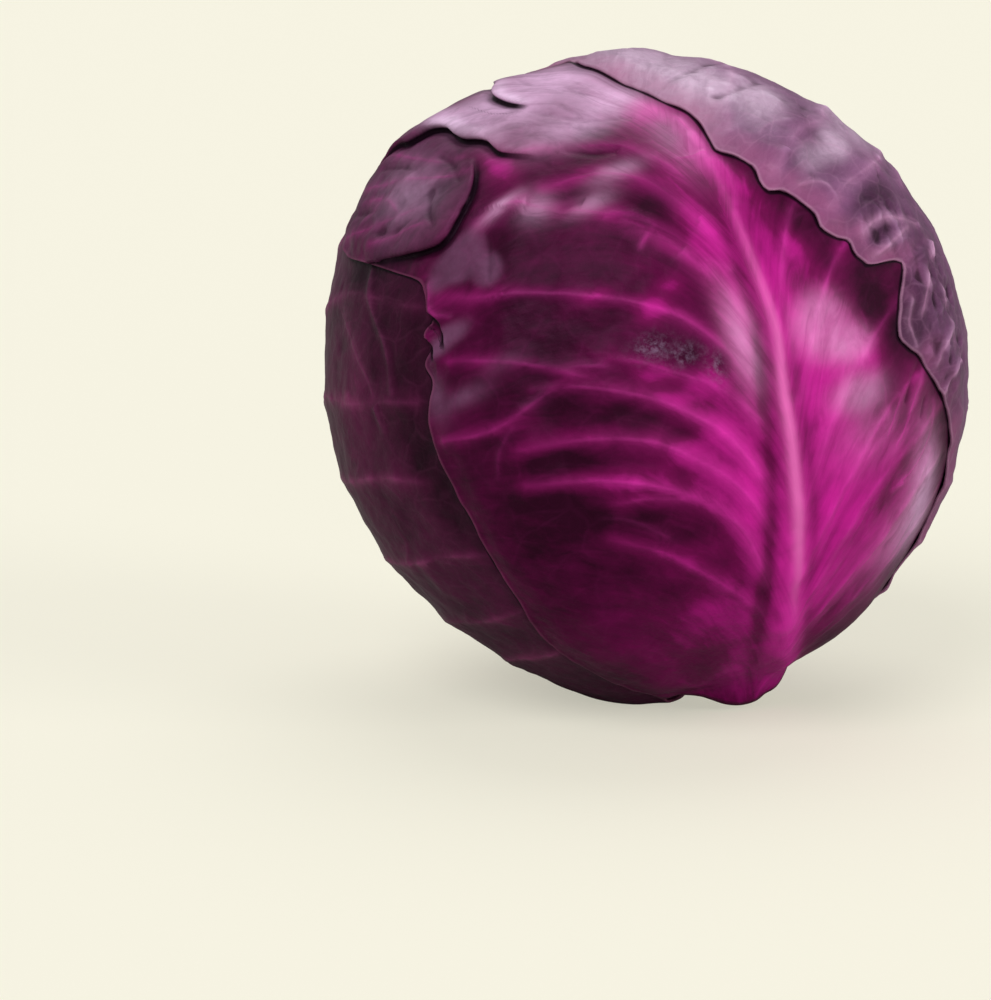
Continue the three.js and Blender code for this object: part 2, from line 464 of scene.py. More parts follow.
@dataclass
class LeafLine:
    """A smooth line on a leaf, such as a vein or the crest of a fold.

    Attributes:
        chart: The leaf's coordinates.
        placing: How its points are placed.
        places: Its points, from its root to its end.
        radius: Radius at which distances are measured.
    """

    chart: LeafChart
    placing: Placing
    places: Sequence[Spot]
    radius: float = OUTER_RADIUS

    def __post_init__(self) -> None:
        """Smooth the points into a run of short straight pieces."""
        points = np.array(self.places, dtype=float)
        padded = np.vstack([2 * points[0] - points[1], points, 2 * points[-1] - points[-2]])
        steps = np.linspace(0.0, 1.0, 6)[:-1][:, None]
        rows = []
        for before, start, end, after in zip(padded, padded[1:], padded[2:], padded[3:]):
            rows.append(curved(steps, start, end, (end - before) / 2.0, (after - start) / 2.0))
        rows.append(points[-1:])
        self.route = self.chart.spots(np.vstack(rows), self.placing)

    def beside(self, directions: Array, reach: float) -> tuple[Array, Array, Array, Array]:
        """Measure the places that lie beside the line.

        Args:
            directions: Unit directions of the places.
            reach: How far from the line places are looked at.

        Returns:
            The numbers of the places near the line. For each of them its distance, positive on
            the line's left as it runs, seen from outside, how far along the line it is from 0 to
            1, and the unit direction across the line to its left.
        """
        middle = unit(self.route.mean(axis=0))
        cap = float(angle_between(self.route, middle).max()) + math.degrees(reach / self.radius)
        near = np.flatnonzero(directions @ middle > math.cos(math.radians(min(cap, 180.0))))
        spots = directions[near]
        best = np.full(len(near), np.inf)
        along, sign = np.zeros(len(near)), np.ones(len(near))
        across = np.zeros_like(spots)
        pieces = len(self.route) - 1
        for number, (start, end) in enumerate(zip(self.route, self.route[1:])):
            run = end - start
            share = np.clip((spots - start) @ run / (run @ run), 0.0, 1.0)
            away = np.linalg.norm(spots - (start + share[:, None] * run), axis=1)
            left = unit(np.cross(start + end, run))
            closer = away < best
            best = np.where(closer, away, best)
            along = np.where(closer, (number + share) / pieces, along)
            sign = np.where(closer, np.sign(spots @ left), sign)
            across[closer] = left
        return near, best * self.radius * sign, along, across


@dataclass(frozen=True)
class Vein:
    """A vein that stands out of a leaf's outer side.

    Attributes:
        places: Its points, from its root to its end.
        width: Half width at its root.
        height: Height at its root.
        glow: How strongly it takes the veins' colour, from 0 to 1.
        end: Share of its width and height that is left at its end.
        main: Whether the blade swells along it.
        base: For a midrib, how pale it is at its root.
    """

    places: Sequence[Spot]
    width: float
    height: float
    glow: float
    end: float = 0.25
    main: bool = False
    base: float = 0.0


@dataclass(frozen=True)
class Fold:
    """A pleat whose crest leans over a gap, which the material darkens with painted shade.

    Attributes:
        places: Points of its crest. The gap is on the right as it runs, seen from outside.
        height: Height of the crest.
        overhang: How far the crest leans over the gap.
        back: Distance over which its back slopes down.
        ends: Shares of its height left at its first and last point.
    """

    places: Sequence[Spot]
    height: float
    overhang: float
    back: float = 9.0
    ends: Spot = (0.0, 0.0)


@dataclass(frozen=True)
class Patch:
    """A soft patch on a leaf.

    Attributes:
        across: Where its middle is across the leaf.
        up: Where its middle is up the leaf.
        wide: Half width across the leaf.
        tall: Half height up the leaf.
        strength: How strong it is.
        flat: Above 1 it is flatter with a clearer edge.
    """

    across: float
    up: float
    wide: float
    tall: float
    strength: float
    flat: float = 1.0

    def away(self, across: Array, up: Array) -> Array:
        """Return how far out each place is, squared, with 1 at the half width and height."""
        return ((across - self.across) / self.wide) ** 2 + ((up - self.up) / self.tall) ** 2


def ridges(*rows: tuple) -> list[Vein]:
    """Return veins from rows of places, width, height, glow and end, True on those that swell."""
    return [Vein(*row) for row in rows]


def patches(*rows: tuple[float, ...]) -> list[Patch]:
    """Return soft patches from rows of across, up, wide, tall and strength, some with flat."""
    return [Patch(*row) for row in rows]


def patched(spots: Sequence[Patch], across: Array, up: Array) -> Array:
    """Lay soft patches over one another.

    Args:
        spots: The patches.
        across: Where the places are across the leaf.
        up: Where they are up the leaf.

    Returns:
        The patches' strength at each place, from 0 to 1.
    """
    bare = np.ones(len(across))
    for spot in spots:
        bare *= 1.0 - spot.strength * np.exp(-(spot.away(across, up) ** spot.flat))
    return 1.0 - bare


# ---- Finishes ----
@dataclass(frozen=True)
class LeafFinish:
    """Colours and gloss of a leaf's skin. Colours are linear.

    Attributes:
        name: Name of the material.
        deep: Darkest blade, in the hollows.
        middle: Blade of middling tone.
        bright: Brightest blade.
        vein: Veins.
        pale: The midrib's own pale colour, which low on the midrib lies on its right flank as a painted
            highlight.
        bloom_and_sheen: Pale waxy bloom, which on the glossy front leaf also paints sheen and highlights.
        dust: Greyish dull bloom.
        edge: The dry margin.
        shade: Painted shade inside folds and painted shadow under the margins of the leaves over it.
        rose: Its colour near the margin.
        frost: Pale specks.
        edged: How clearly the dry margin shows.
        roughness: Of the bare skin.
        bloom_roughness: Where the bloom lies.
        gloss: How much the skin shines.
        gloss_tint: Colour of that shine.
        net: Strength of the net of fine veins.
        mottle: How far the tone wanders.
        combed: Strength of the streaks along the side veins.
        facet: How much the tone differs between the coarse meshes of the net.
        drawn: Strength of the thin middles of the veins.
        relief_shading: How strongly the relief's hollows get painted shade and its crests painted light.
        banded: How far the tone drifts in bands along the side veins.
        rosy: How much redder it is near its margin.
    """

    name: str
    deep: Colour
    middle: Colour
    bright: Colour
    vein: Colour
    pale: Colour
    bloom_and_sheen: Colour
    dust: Colour
    edge: Colour
    shade: Colour = (0.006, 0.0015, 0.005)
    rose: Colour = (0.4, 0.08, 0.21)
    frost: Colour = (0.3, 0.2, 0.32)
    edged: float = 0.6
    roughness: float = 0.4
    bloom_roughness: float = 0.56
    gloss: float = 0.12
    gloss_tint: Colour = (1.0, 0.45, 0.8)
    net: float = 0.3
    mottle: float = 0.3
    combed: float = 0.16
    facet: float = 0.0
    drawn: float = 0.35
    relief_shading: float = 0.75
    banded: float = 0.5
    rosy: float = 0.0


def srgb(*channels: int) -> Colour:
    """Return the linear colour of an sRGB one with 8 bits a channel."""
    shares = [channel / 255.0 for channel in channels]
    return tuple(s / 12.92 if s <= 0.04045 else ((s + 0.055) / 1.055) ** 2.4 for s in shares)


class Nodes:
    """A short way to write the node tree of a material or of the world."""

    def __init__(self, owner: Material | World) -> None:
        """Start with the owner's own nodes.

        Args:
            owner: The material or the world.
        """
        owner.use_nodes = True
        self.owner = owner
        self.tree = owner.node_tree

    def add(self, kind: str, values: dict[str | int, object] | None = None, **settings: object) -> Node:
        """Add a node.

        Args:
            kind: Blender's name of the node type.
            values: Inputs by name or number, each with a value, a socket to link or None.
            settings: Properties of the node.

        Returns:
            The new node.
        """
        node = self.tree.nodes.new(kind)
        for key, value in settings.items():
            setattr(node, key, value)
        for key, value in (values or {}).items():
            if value is not None:
                self.put(node.inputs[key], value)
        return node

    def put(self, socket: Socket, value: object) -> None:
        """Link a socket into an input, or set the input's value.

        Args:
            socket: The input.
            value: The socket or the value.
        """
        if isinstance(value, Socket):
            self.tree.links.new(value, socket)
        elif socket.type == "RGBA":
            socket.default_value = (*value, 1.0)
        else:
            socket.default_value = value

    def shade(self, values: dict[str, object]) -> Socket:
        """Set inputs of a material's Principled shader.

        Args:
            values: Values or sockets to link, by input.

        Returns:
            What the shader gives.
        """
        shader = self.tree.nodes["Principled BSDF"]
        for key, value in values.items():
            self.put(shader.inputs[key], value)
        return shader.outputs[0]

    def for_camera(self, shader: Socket, otherwise: Socket) -> Socket:
        """Return one shader for what the camera sees and another for all other rays."""
        seen = self.add("ShaderNodeLightPath").outputs["Is Camera Ray"]
        return self.add("ShaderNodeMixShader", {0: seen, 1: otherwise, 2: shader}).outputs[0]

    def attribute(self, name: str) -> Socket:
        """Return a mesh attribute's value."""
        return self.add("ShaderNodeAttribute", attribute_name=name).outputs["Fac"]

    def math(self, operation: str, *values: object) -> Socket:
        """Return the result of a Math node."""
        return self.add("ShaderNodeMath", dict(enumerate(values)), operation=operation).outputs[0]

    def vector(self, operation: str, *values: object) -> Socket:
        """Return the result of a Vector Math node."""
        return self.add("ShaderNodeVectorMath", dict(enumerate(values)), operation=operation).outputs[0]

    def times(self, first: object, *others: object) -> Socket:
        """Return the product of values."""
        for value in others:
            first = self.math("MULTIPLY", first, value)
        return first

    def most(self, first: object, *others: object) -> Socket:
        """Return the largest of values."""
        for value in others:
            first = self.math("MAXIMUM", first, value)
        return first

    def scaled(self, value: object, by: object, plus: object) -> Socket:
        """Return a value times by, plus plus."""
        return self.math("MULTIPLY_ADD", value, by, plus)

    def centred(self, value: object) -> Socket:
        """Return a value less the middle of the range from 0 to 1."""
        return self.math("SUBTRACT", value, 0.5)

    def ease(self, value: object, low: float, high: float, start: float = 0.0, end: float = 1.0) -> Socket:
        """Return value eased from start at low to end at high."""
        values = {"Value": value, "From Min": low, "From Max": high, "To Min": start, "To Max": end}
        return self.add("ShaderNodeMapRange", values, interpolation_type="SMOOTHSTEP").outputs[0]

    def mix(self, share: object, first: object, second: object, blend: str = "MIX") -> Socket:
        """Return two colours mixed by a share."""
        values = {0: share, 6: first, 7: second}
        return self.add("ShaderNodeMix", values, data_type="RGBA", blend_type=blend).outputs[2]

    def ramp(self, value: object, *colours: Colour) -> Socket:
        """Read a row of colours.

        Args:
            value: Where to read it, from 0 to 1.
            colours: The colours, evenly spread.

        Returns:
            The colour there.
        """
        node = self.add("ShaderNodeValToRGB", {"Fac": value})
        while len(node.color_ramp.elements) < len(colours):
            node.color_ramp.elements.new(0.5)
        for number, (element, colour) in enumerate(zip(node.color_ramp.elements, colours)):
            element.position = number / (len(colours) - 1)
            element.color = (*colour, 1.0)
        return node.outputs[0]

    def noise(self, where: object, scale: float, detail: float = 4.0, roughness: float = 0.55) -> Socket:
        """Return the value of a Noise texture."""
        values = {"Vector": where, "Scale": scale, "Detail": detail, "Roughness": roughness}
        return self.add("ShaderNodeTexNoise", values).outputs[0]

    def cells(self, where: object, scale: float, flat: bool = False) -> Socket:
        """Return the distance to the edge of a net of cells, in space or on flat coordinates."""
        settings = {"feature": "DISTANCE_TO_EDGE", "voronoi_dimensions": "2D" if flat else "3D"}
        return self.add("ShaderNodeTexVoronoi", {"Vector": where, "Scale": scale}, **settings).outputs[0]

    def stretch(self, where: object, by: Colour) -> Socket:
        """Return coordinates multiplied by a factor for each axis."""
        return self.vector("MULTIPLY", where, by)

    def bent(self, where: object, scale: float, reach: float) -> Socket:
        """Return coordinates pushed about by noise.

        Args:
            where: The coordinates.
            scale: Scale of the noise.
            reach: How far they are pushed.

        Returns:
            The bent coordinates.
        """
        wobble = self.add("ShaderNodeTexNoise", {"Vector": where, "Scale": scale, "Detail": 2.0}).outputs[1]
        pull = self.vector("SUBTRACT", wobble, (0.5, 0.5, 0.5))
        return self.vector("MULTIPLY_ADD", pull, (reach, reach, reach), where)

    def bump(self, height: object, strength: float, distance: float, normal: object = None) -> Socket:
        """Return a normal bent by a height in metres times distance."""
        values = {"Height": height, "Strength": strength, "Distance": distance, "Normal": normal}
        return self.add("ShaderNodeBump", values).outputs[0]


MASKS = (
    "tone", "midrib", "vein", "bloom_and_sheen", "dust", "frost", "rim", "cover", "gap", "fold", "streaky",
    "line", "thin", "relief_shade",
)
MASK_REACH = 12.0
COARSE_CELLS = 0.09
FINE_CELLS = 0.3
WAX_IOR = 1.45


class LeafSkin(Nodes):
    """A leaf's material, worked out from the masks that the leaf's mesh carries.

    Among those masks, rim, cover and gap are distances from the margin, from the margin of the
    leaf over it and from a fold, and line is the distance from the nearest vein, all in shares of
    MASK_REACH millimetres, so that what is drawn along them is sharp. The net of fine veins, the
    streaks and the mottling are worked out here.
    """

    def __init__(self, finish: LeafFinish) -> None:
        """Build the material.

        Args:
            finish: The leaf's colours and gloss.
        """
        super().__init__(bpy.data.materials.new(finish.name))
        self.finish = finish
        self.masks = {name: self.attribute(name) for name in MASKS}
        self._patterns()
        self._coats()
        colour = self._margin(self._relieved(self._bloomed_and_sheened(self._blade())))
        self.shade({
            "Base Color": self.mix(self._shade(), colour, finish.shade),
            "Roughness": self._roughness(),
            "Normal": self._normal(),
            "IOR": WAX_IOR,
            "Specular IOR Level": finish.gloss,
            "Specular Tint": finish.gloss_tint,
        })

    def _patterns(self) -> None:
        """Set up the nets, the streaks and the noises."""
        chart = self.add("ShaderNodeUVMap", uv_map="chart").outputs[0]
        flow = self.add("ShaderNodeUVMap", uv_map="flow").outputs[0]
        place = self.add("ShaderNodeTexCoord").outputs["Object"]
        bent = self.bent(chart, 0.12, 6.0)
        self.coarse_net = self.ease(self.cells(bent, COARSE_CELLS, flat=True), 0.0, 0.085, 1.0, 0.0)
        self.fine_net = self.ease(self.cells(bent, FINE_CELLS, flat=True), 0.0, 0.12, 1.0, 0.0)
        self.tilted = 0.0
        if self.finish.facet:
            values = {"Vector": bent, "Scale": COARSE_CELLS}
            facets = self.add("ShaderNodeTexVoronoi", values, voronoi_dimensions="2D").outputs["Color"]
            self.tilted = self.centred(facets)
        self.streaks = self.noise(self.stretch(self.bent(flow, 0.08, 3.0), (0.05, 0.4, 1.0)), 1.0)
        drift = self.stretch(self.bent(flow, 0.05, 8.0), (0.045, 0.14, 1.0))
        self.bands = self.noise(drift, 1.0, 5.0, 0.62)
        self.cloud = self.noise(place, 34.0, 5.0, 0.6)
        self.blotch = self.noise(place, 110.0, 4.0, 0.6)
        self.grain = self.noise(place, 520.0, 3.0)
        self.speck = self.noise(place, 600.0, 3.0, 0.7)

    def _blade(self) -> Socket:
        """Draw the bare blade with its net of veins and its side veins.

        Returns:
            Its colour.
        """
        finish, tone = self.finish, self.masks["tone"]
        wander = self.centred(self.scaled(self.cloud, 0.65, self.times(self.blotch, 0.35)))
        level = self.scaled(wander, 2.0 * finish.mottle, tone)
        combed = self.times(self.centred(self.streaks), self.masks["streaky"])
        level = self.scaled(combed, finish.combed, level)
        drift = self.times(self.centred(self.bands), finish.banded)
        level = self.scaled(drift, self.ease(tone, 0.0, 0.3, 0.4, 1.0), level)
        level = self.scaled(self.tilted, finish.facet, level)
        colour = self.ramp(level, finish.deep, finish.middle, finish.bright)
        net = self.most(self.coarse_net, self.times(self.fine_net, 0.4))
        self.netted = self.times(net, self.ease(self.blotch, 0.3, 0.7, 0.35, 1.0))
        colour = self.mix(self.times(self.netted, 0.5 * finish.net), colour, finish.vein)
        veins = self.times(self.masks["vein"], self.ease(self.bands, 0.32, 0.58, 0.45, 1.0))
        return self.mix(veins, colour, finish.vein)

    def _coats(self) -> None:
        """Work out how strongly the dull bloom, the waxy bloom with its painted sheen and the drawn veins
        show.
        """
        self.dusty = self.times(
            self.masks["dust"],
            self.ease(self.blotch, 0.3, 0.7, 0.7, 1.0),
            self.ease(self.cloud, 0.35, 0.65, 0.6, 1.0),
            self.scaled(self.tilted, self.finish.facet, 1.0),
            self.ease(self.grain, 0.2, 0.8, 0.85, 1.0),
        )
        self.waxy_and_sheen = self.times(
            self.masks["bloom_and_sheen"],
            self.ease(self.bands, 0.3, 0.62, 0.65, 1.0),
            self.ease(self.grain, 0.2, 0.8, 0.88, 1.0),
        )
        off = self.math("ABSOLUTE", self.centred(self.masks["line"]))
        sharp = self.ease(off, 0.1 / MASK_REACH, 0.75 / MASK_REACH, 1.0, 0.0)
        spotty = self.ease(self.blotch, 0.3, 0.65, 0.35, 1.0)
        self.drawn = self.times(sharp, self.masks["thin"], spotty)
        self.covered = self.most(self.waxy_and_sheen, self.dusty)

    def _bloomed_and_sheened(self, colour: Socket) -> Socket:
        """Lay both blooms on, the waxy one with its painted sheen and highlights, through which the veins
        still show.

        Args:
            colour: Colour of the blade.

        Returns:
            Its colour under the blooms.
        """
        finish = self.finish
        colour = self.mix(self.dusty, colour, finish.dust)
        colour = self.mix(self.waxy_and_sheen, colour, finish.bloom_and_sheen)
        shown = self.times(self.netted, self.times(self.covered, finish.net))
        colour = self.mix(shown, colour, finish.vein)
        return self.mix(self.times(self.drawn, finish.drawn), colour, finish.vein)

    def _relieved(self, colour: Socket) -> Socket:
        """Paint shade into the hollows of the relief and light onto its crests, and draw the midrib.

        Args:
            colour: Colour of the skin.

        Returns:
            Its colour with the relief.
        """
        finish, relief_shade = self.finish, self.masks["relief_shade"]
        hollow = self.ease(relief_shade, 0.14, 0.47, finish.relief_shading, 0.0)
        crest = self.ease(relief_shade, 0.52, 0.8, 0.0, finish.relief_shading)
        # Painted shade in the relief's hollows and painted light on its crests.
        colour = self.mix(hollow, colour, (0.22, 0.16, 0.2), "MULTIPLY")
        colour = self.mix(crest, colour, (1.6, 1.9, 1.7), "MULTIPLY")
        return self.mix(self.masks["midrib"], colour, finish.pale)

    def _margin(self, colour: Socket) -> Socket:
        """Add the frost, the redder stretch near the margin and its dry edge.

        Args:
            colour: Colour of the skin.

        Returns:
            Its colour with its margin.
        """
        finish, rim = self.finish, self.masks["rim"]
        warm = self.times(
            self.ease(rim, 1.0 / MASK_REACH, 0.95, finish.rosy, 0.0),
            self.blotch,
            self.ease(self.masks["tone"], 0.05, 0.35, 0.1, 1.0),
        )
        colour = self.mix(warm, colour, finish.rose)
        frosted = self.times(self.masks["frost"], self.ease(self.speck, 0.38, 0.8))
        colour = self.mix(frosted, colour, finish.frost)
        dry = self.ease(rim, 0.25 / MASK_REACH, 0.9 / MASK_REACH, finish.edged, 0.0)
        return self.mix(self.times(dry, self.ease(self.blotch, 0.25, 0.6, 0.5, 1.0)), colour, finish.edge)

    def _shade(self) -> Socket:
        """Paint shadow under and just past the margin of the leaf over it, and shade in the gaps of the
        folds.

        Returns:
            How dark it is.
        """
        cover, gap, fold = (self.masks[name] for name in ("cover", "gap", "fold"))
        above = self.ease(gap, 0.5 - 0.1 / MASK_REACH, 0.5 + 0.35 / MASK_REACH, 1.0, 0.0)
        below = self.ease(gap, 0.5 - 2.3 / MASK_REACH, 0.5 - 1.0 / MASK_REACH)
        return self.most(
            self.ease(cover, 0.4 / MASK_REACH, 1.2 / MASK_REACH, 0.96, 0.0),
            self.ease(cover, 0.5 / MASK_REACH, 4.5 / MASK_REACH, 0.35, 0.0),
            self.times(below, above, fold),
            self.times(self.ease(gap, 0.5 - 5.0 / MASK_REACH, 0.5, 0.0, 0.4), above, fold),
        )

    def _roughness(self) -> Socket:
        """Return the skin's roughness."""
        finish = self.finish
        rough = self.ease(self.covered, 0.0, 1.0, finish.roughness, finish.bloom_roughness)
        return self.scaled(self.blotch, 0.16, self.math("SUBTRACT", rough, 0.08))

    def _normal(self) -> Socket:
        """Bend the skin with the nets, the streaks and the grain.

        Returns:
            Its normal.
        """
        relief = self.scaled(self.coarse_net, 0.7, self.times(self.fine_net, 0.3))
        bent = self.bump(self.scaled(relief, self.finish.net, self.drawn), 0.5, 0.0004)
        bent = self.bump(self.times(self.streaks, self.masks["streaky"]), 0.2, 0.0004, bent)
        bent = self.bump(self.blotch, 0.35, 0.001, bent)
        return self.bump(self.grain, 0.12, 0.0004, bent)


GLOSSY = LeafFinish(
    name="leaf_glossy",
    deep=srgb(46, 7, 30),
    middle=srgb(112, 12, 76),
    bright=srgb(206, 32, 152),
    vein=srgb(200, 60, 152),
    pale=srgb(236, 112, 188),
    # This bloom colour also paints the front leaf's sheen and highlights.
    bloom_and_sheen=srgb(244, 198, 238),
    dust=srgb(122, 80, 112),
    edge=srgb(150, 84, 116),
    net=0.05,
    edged=0.3,
    relief_shading=0.55,
)
BLOOMY = LeafFinish(
    name="leaf_bloomy",
    deep=srgb(62, 24, 54),
    middle=srgb(118, 60, 104),
    bright=srgb(176, 100, 150),
    vein=srgb(198, 140, 178),
    pale=srgb(214, 160, 196),
    bloom_and_sheen=srgb(224, 194, 220),
    dust=srgb(144, 106, 142),
    edge=srgb(176, 128, 156),
    gloss=0.22,
    gloss_tint=(1.0, 0.8, 0.95),
    roughness=0.46,
    net=0.22,
    facet=0.1,
    edged=0.5,
    drawn=0.4,
    relief_shading=0.85,
    rosy=0.7,
)
DUSKY = LeafFinish(
    name="leaf_dusky",
    deep=srgb(30, 7, 20),
    middle=srgb(86, 22, 60),
    bright=srgb(150, 56, 108),
    vein=srgb(150, 72, 116),
    pale=srgb(206, 140, 178),
    bloom_and_sheen=srgb(158, 112, 150),
    dust=srgb(112, 70, 100),
    edge=srgb(150, 90, 112),
    roughness=0.42,
    net=0.12,
    edged=0.5,
)
INSIDE = LeafFinish(
    name="leaf_inside",
    deep=srgb(70, 20, 62),
    middle=srgb(112, 34, 96),
    bright=srgb(150, 50, 124),
    vein=srgb(196, 128, 176),
    pale=srgb(232, 208, 222),
    bloom_and_sheen=srgb(150, 104, 146),
    dust=srgb(120, 74, 116),
    edge=srgb(120, 50, 96),
)
YOUNG = LeafFinish(
    name="leaf_young",
    deep=srgb(150, 80, 134),
    middle=srgb(190, 124, 172),
    bright=srgb(214, 160, 198),
    vein=srgb(232, 205, 222),
    pale=srgb(244, 232, 236),
    bloom_and_sheen=srgb(214, 176, 206),
    dust=srgb(196, 150, 184),
    edge=srgb(160, 90, 140),
)


# ---- Leaves ----
SLAB = 0.01
MAIN_VEIN_REACH = 14.0
SMALL_VEIN_REACH = 5.0
MIDRIB_REACH = 20.0
FOLD_REACH = 30.0


@dataclass
class LeafSheet:
    """A closed thin sheet with its fine places, ready to be made a mesh.

    Attributes:
        shape: The head's shape.
        chart: Where the leaf lies.
        grid: Faces across its outer side.
        under_grid: Faces across its inner side.
        gather: Where the rows and columns lie closer, as shifts of the middle lines.
    """

    shape: HeadShape
    chart: LeafChart
    grid: int
    under_grid: int
    gather: Spot = (0.0, 0.0)

    def __post_init__(self) -> None:
        """Make the flat slab and read back where its corners are."""
        flat = bmesh.new()
        bmesh.ops.create_grid(flat, x_segments=self.grid, y_segments=self.grid, size=1.0)
        outer = list(flat.faces)
        segments = self.under_grid
        lower = bmesh.ops.create_grid(flat, x_segments=segments, y_segments=segments, size=1.0)
        bmesh.ops.translate(flat, vec=(0.0, 0.0, -SLAB), verts=lower["verts"])
        under = [face for face in flat.faces if face.calc_center_median().z < -SLAB / 2.0]
        bmesh.ops.reverse_faces(flat, faces=under)
        if outer[0].normal.z < 0.0:
            bmesh.ops.reverse_faces(flat, faces=flat.faces[:])
        bmesh.ops.bridge_loops(flat, edges=[edge for edge in flat.edges if edge.is_boundary])
        bmesh.ops.recalc_face_normals(flat, faces=flat.faces[:])
        self.mesh = mesh_of("leaf", flat)
        corners = corners_of(self.mesh)
        u, v = np.clip(corners[:, 0], -1.0, 1.0), np.clip(corners[:, 1], -1.0, 1.0)
        u = u - self.gather[0] * (1.0 - u * u)
        v = v - self.gather[1] * (1.0 - v * v)
        x, y = u * np.sqrt(1.0 - v * v / 2.0), v * np.sqrt(1.0 - u * u / 2.0)
        self.inner = corners[:, 2] < -SLAB / 2.0
        self.heading = np.degrees(np.arctan2(x, y))
        self.reach = self.chart.reach(self.heading, np.hypot(x, y))
        self.directions = self.chart.directions(self.heading, self.reach)

    def margin_distance(self) -> Array:
        """Return each corner's distance in from the margin."""
        return np.maximum(-self.chart.from_margin(self.heading, self.reach), 0.0)

    def finish(
        self, piece: Piece, places: Array, masks: dict[str, Array], flow: Array, skin: Material
    ) -> Object:
        """Give the sheet its masks and coordinates, and make it a piece.

        Args:
            piece: What the sheet is called and what it stands for.
            places: Corner places in the head's frame.
            masks: Values for the material, by name.
            flow: Coordinates that run along the side veins.
            skin: The leaf's material.

        Returns:
            The piece.
        """
        for mask in MASKS:
            values = np.clip(masks.get(mask, np.zeros(len(places))), 0.0, 1.0)
            layer = self.mesh.attributes.new(mask, "FLOAT", "POINT")
            layer.data.foreach_set("value", values.astype(np.float32))
        loops = np.empty(len(self.mesh.loops), dtype=np.int32)
        self.mesh.loops.foreach_get("vertex_index", loops)
        turn = np.radians(self.heading)
        length = np.radians(self.reach) * self.shape.base
        flat = np.column_stack([length * np.sin(turn), length * np.cos(turn)])
        self.mesh.uv_layers.new(name="chart").data.foreach_set("uv", flat[loops].ravel())
        self.mesh.uv_layers.new(name="flow").data.foreach_set("uv", flow[loops].ravel())
        return piece.put(self.mesh, self.shape.to_model(places), skin)


class Side(Enum):
    """The two sides of a leaf's midrib."""

    LEFT = -1
    RIGHT = 1


@dataclass(frozen=True)
class LateralFan:
    """The main side veins on one side of a midrib, with their branches.

    Attributes:
        side: Which side they are on.
        roots: How far up they leave the midrib.
        climb: How far up they bend in all.
        bend: Distance across over which they bend outwards.
        reach: Distance across at which they end.
        spread: How much further apart they are at their ends, as a share.
        width: Half width at the root.
        height: Height at the root.
        glow: How strongly they take the veins' colour.
        branches: How many smaller veins each one throws off.
        seed: Picks the small differences between them.
    """

    side: Side
    roots: Sequence[float]
    climb: float = 25.0
    bend: float = 18.0
    reach: float = 58.0
    spread: float = 0.0
    width: float = 2.0
    height: float = 0.8
    glow: float = 0.75
    branches: int = 5
    seed: int = 1

    def label(self, across: Array, up: Array) -> Array:
        """Return how far up the midrib a side vein through each place would have its root."""
        out = np.abs(across)
        root = up - self.climb * (1.0 - np.exp(-out / self.bend))
        return LEAF_MIDDLE + (root - LEAF_MIDDLE) / (1.0 + self.spread * out / self.reach)

    def veins(self) -> list[Vein]:
        """Draw the side veins and their branches.

        Returns:
            The veins.
        """
        chance = np.random.default_rng(self.seed)
        made = []
        for root in self.roots:
            climb = self.climb * chance.uniform(0.92, 1.08)
            reach = self.reach * chance.uniform(0.88, 1.0)
            drift, wave = chance.uniform(-1.5, 1.5), chance.uniform(0.0, math.tau)
            spine = []
            for out in np.linspace(0.0, reach, 8):
                sway = 0.8 * (math.sin(out / 6.0 + wave) - math.sin(wave))
                fan = (root - LEAF_MIDDLE) * self.spread * out / self.reach
                up = root + fan + climb * (1.0 - math.exp(-out / self.bend)) + drift * out / reach + sway
                spine.append((self.side.value * out, up))
            force = chance.uniform(0.55, 1.1)
            width = self.width * chance.uniform(0.7, 1.15)
            made.append(Vein(spine, width, self.height * force, self.glow * force, main=True))
            made.extend(self._branches(spine, chance))
        return made

    def _branches(self, spine: Sequence[Spot], chance: np.random.Generator) -> list[Vein]:
        """Draw the small veins that leave one side vein.

        Args:
            spine: Points of the side vein.
            chance: The fan's random numbers.

        Returns:
            The small veins.
        """
        made = []
        points = np.array(spine)
        for number in range(self.branches):
            at = (number + 1.2) / (self.branches + 1.5) * (len(points) - 1)
            run = points[int(at) + 1] - points[int(at)]
            start = points[int(at)] + run * (at % 1.0)
            run = run / np.linalg.norm(run)
            turn = math.radians(chance.uniform(36.0, 58.0)) * (1 if number % 2 else -1) * self.side.value
            ahead = np.array([
                run[0] * math.cos(turn) - run[1] * math.sin(turn),
                run[0] * math.sin(turn) + run[1] * math.cos(turn),
            ])
            length = chance.uniform(4.5, 9.0)
            end = start + ahead * length
            middle = (start + end) / 2.0 + run * length * 0.16
            places = [tuple(start), tuple(middle), tuple(end)]
            made.append(Vein(places, self.width * 0.4, self.height * 0.4, self.glow * 0.5, 0.1))
        return made


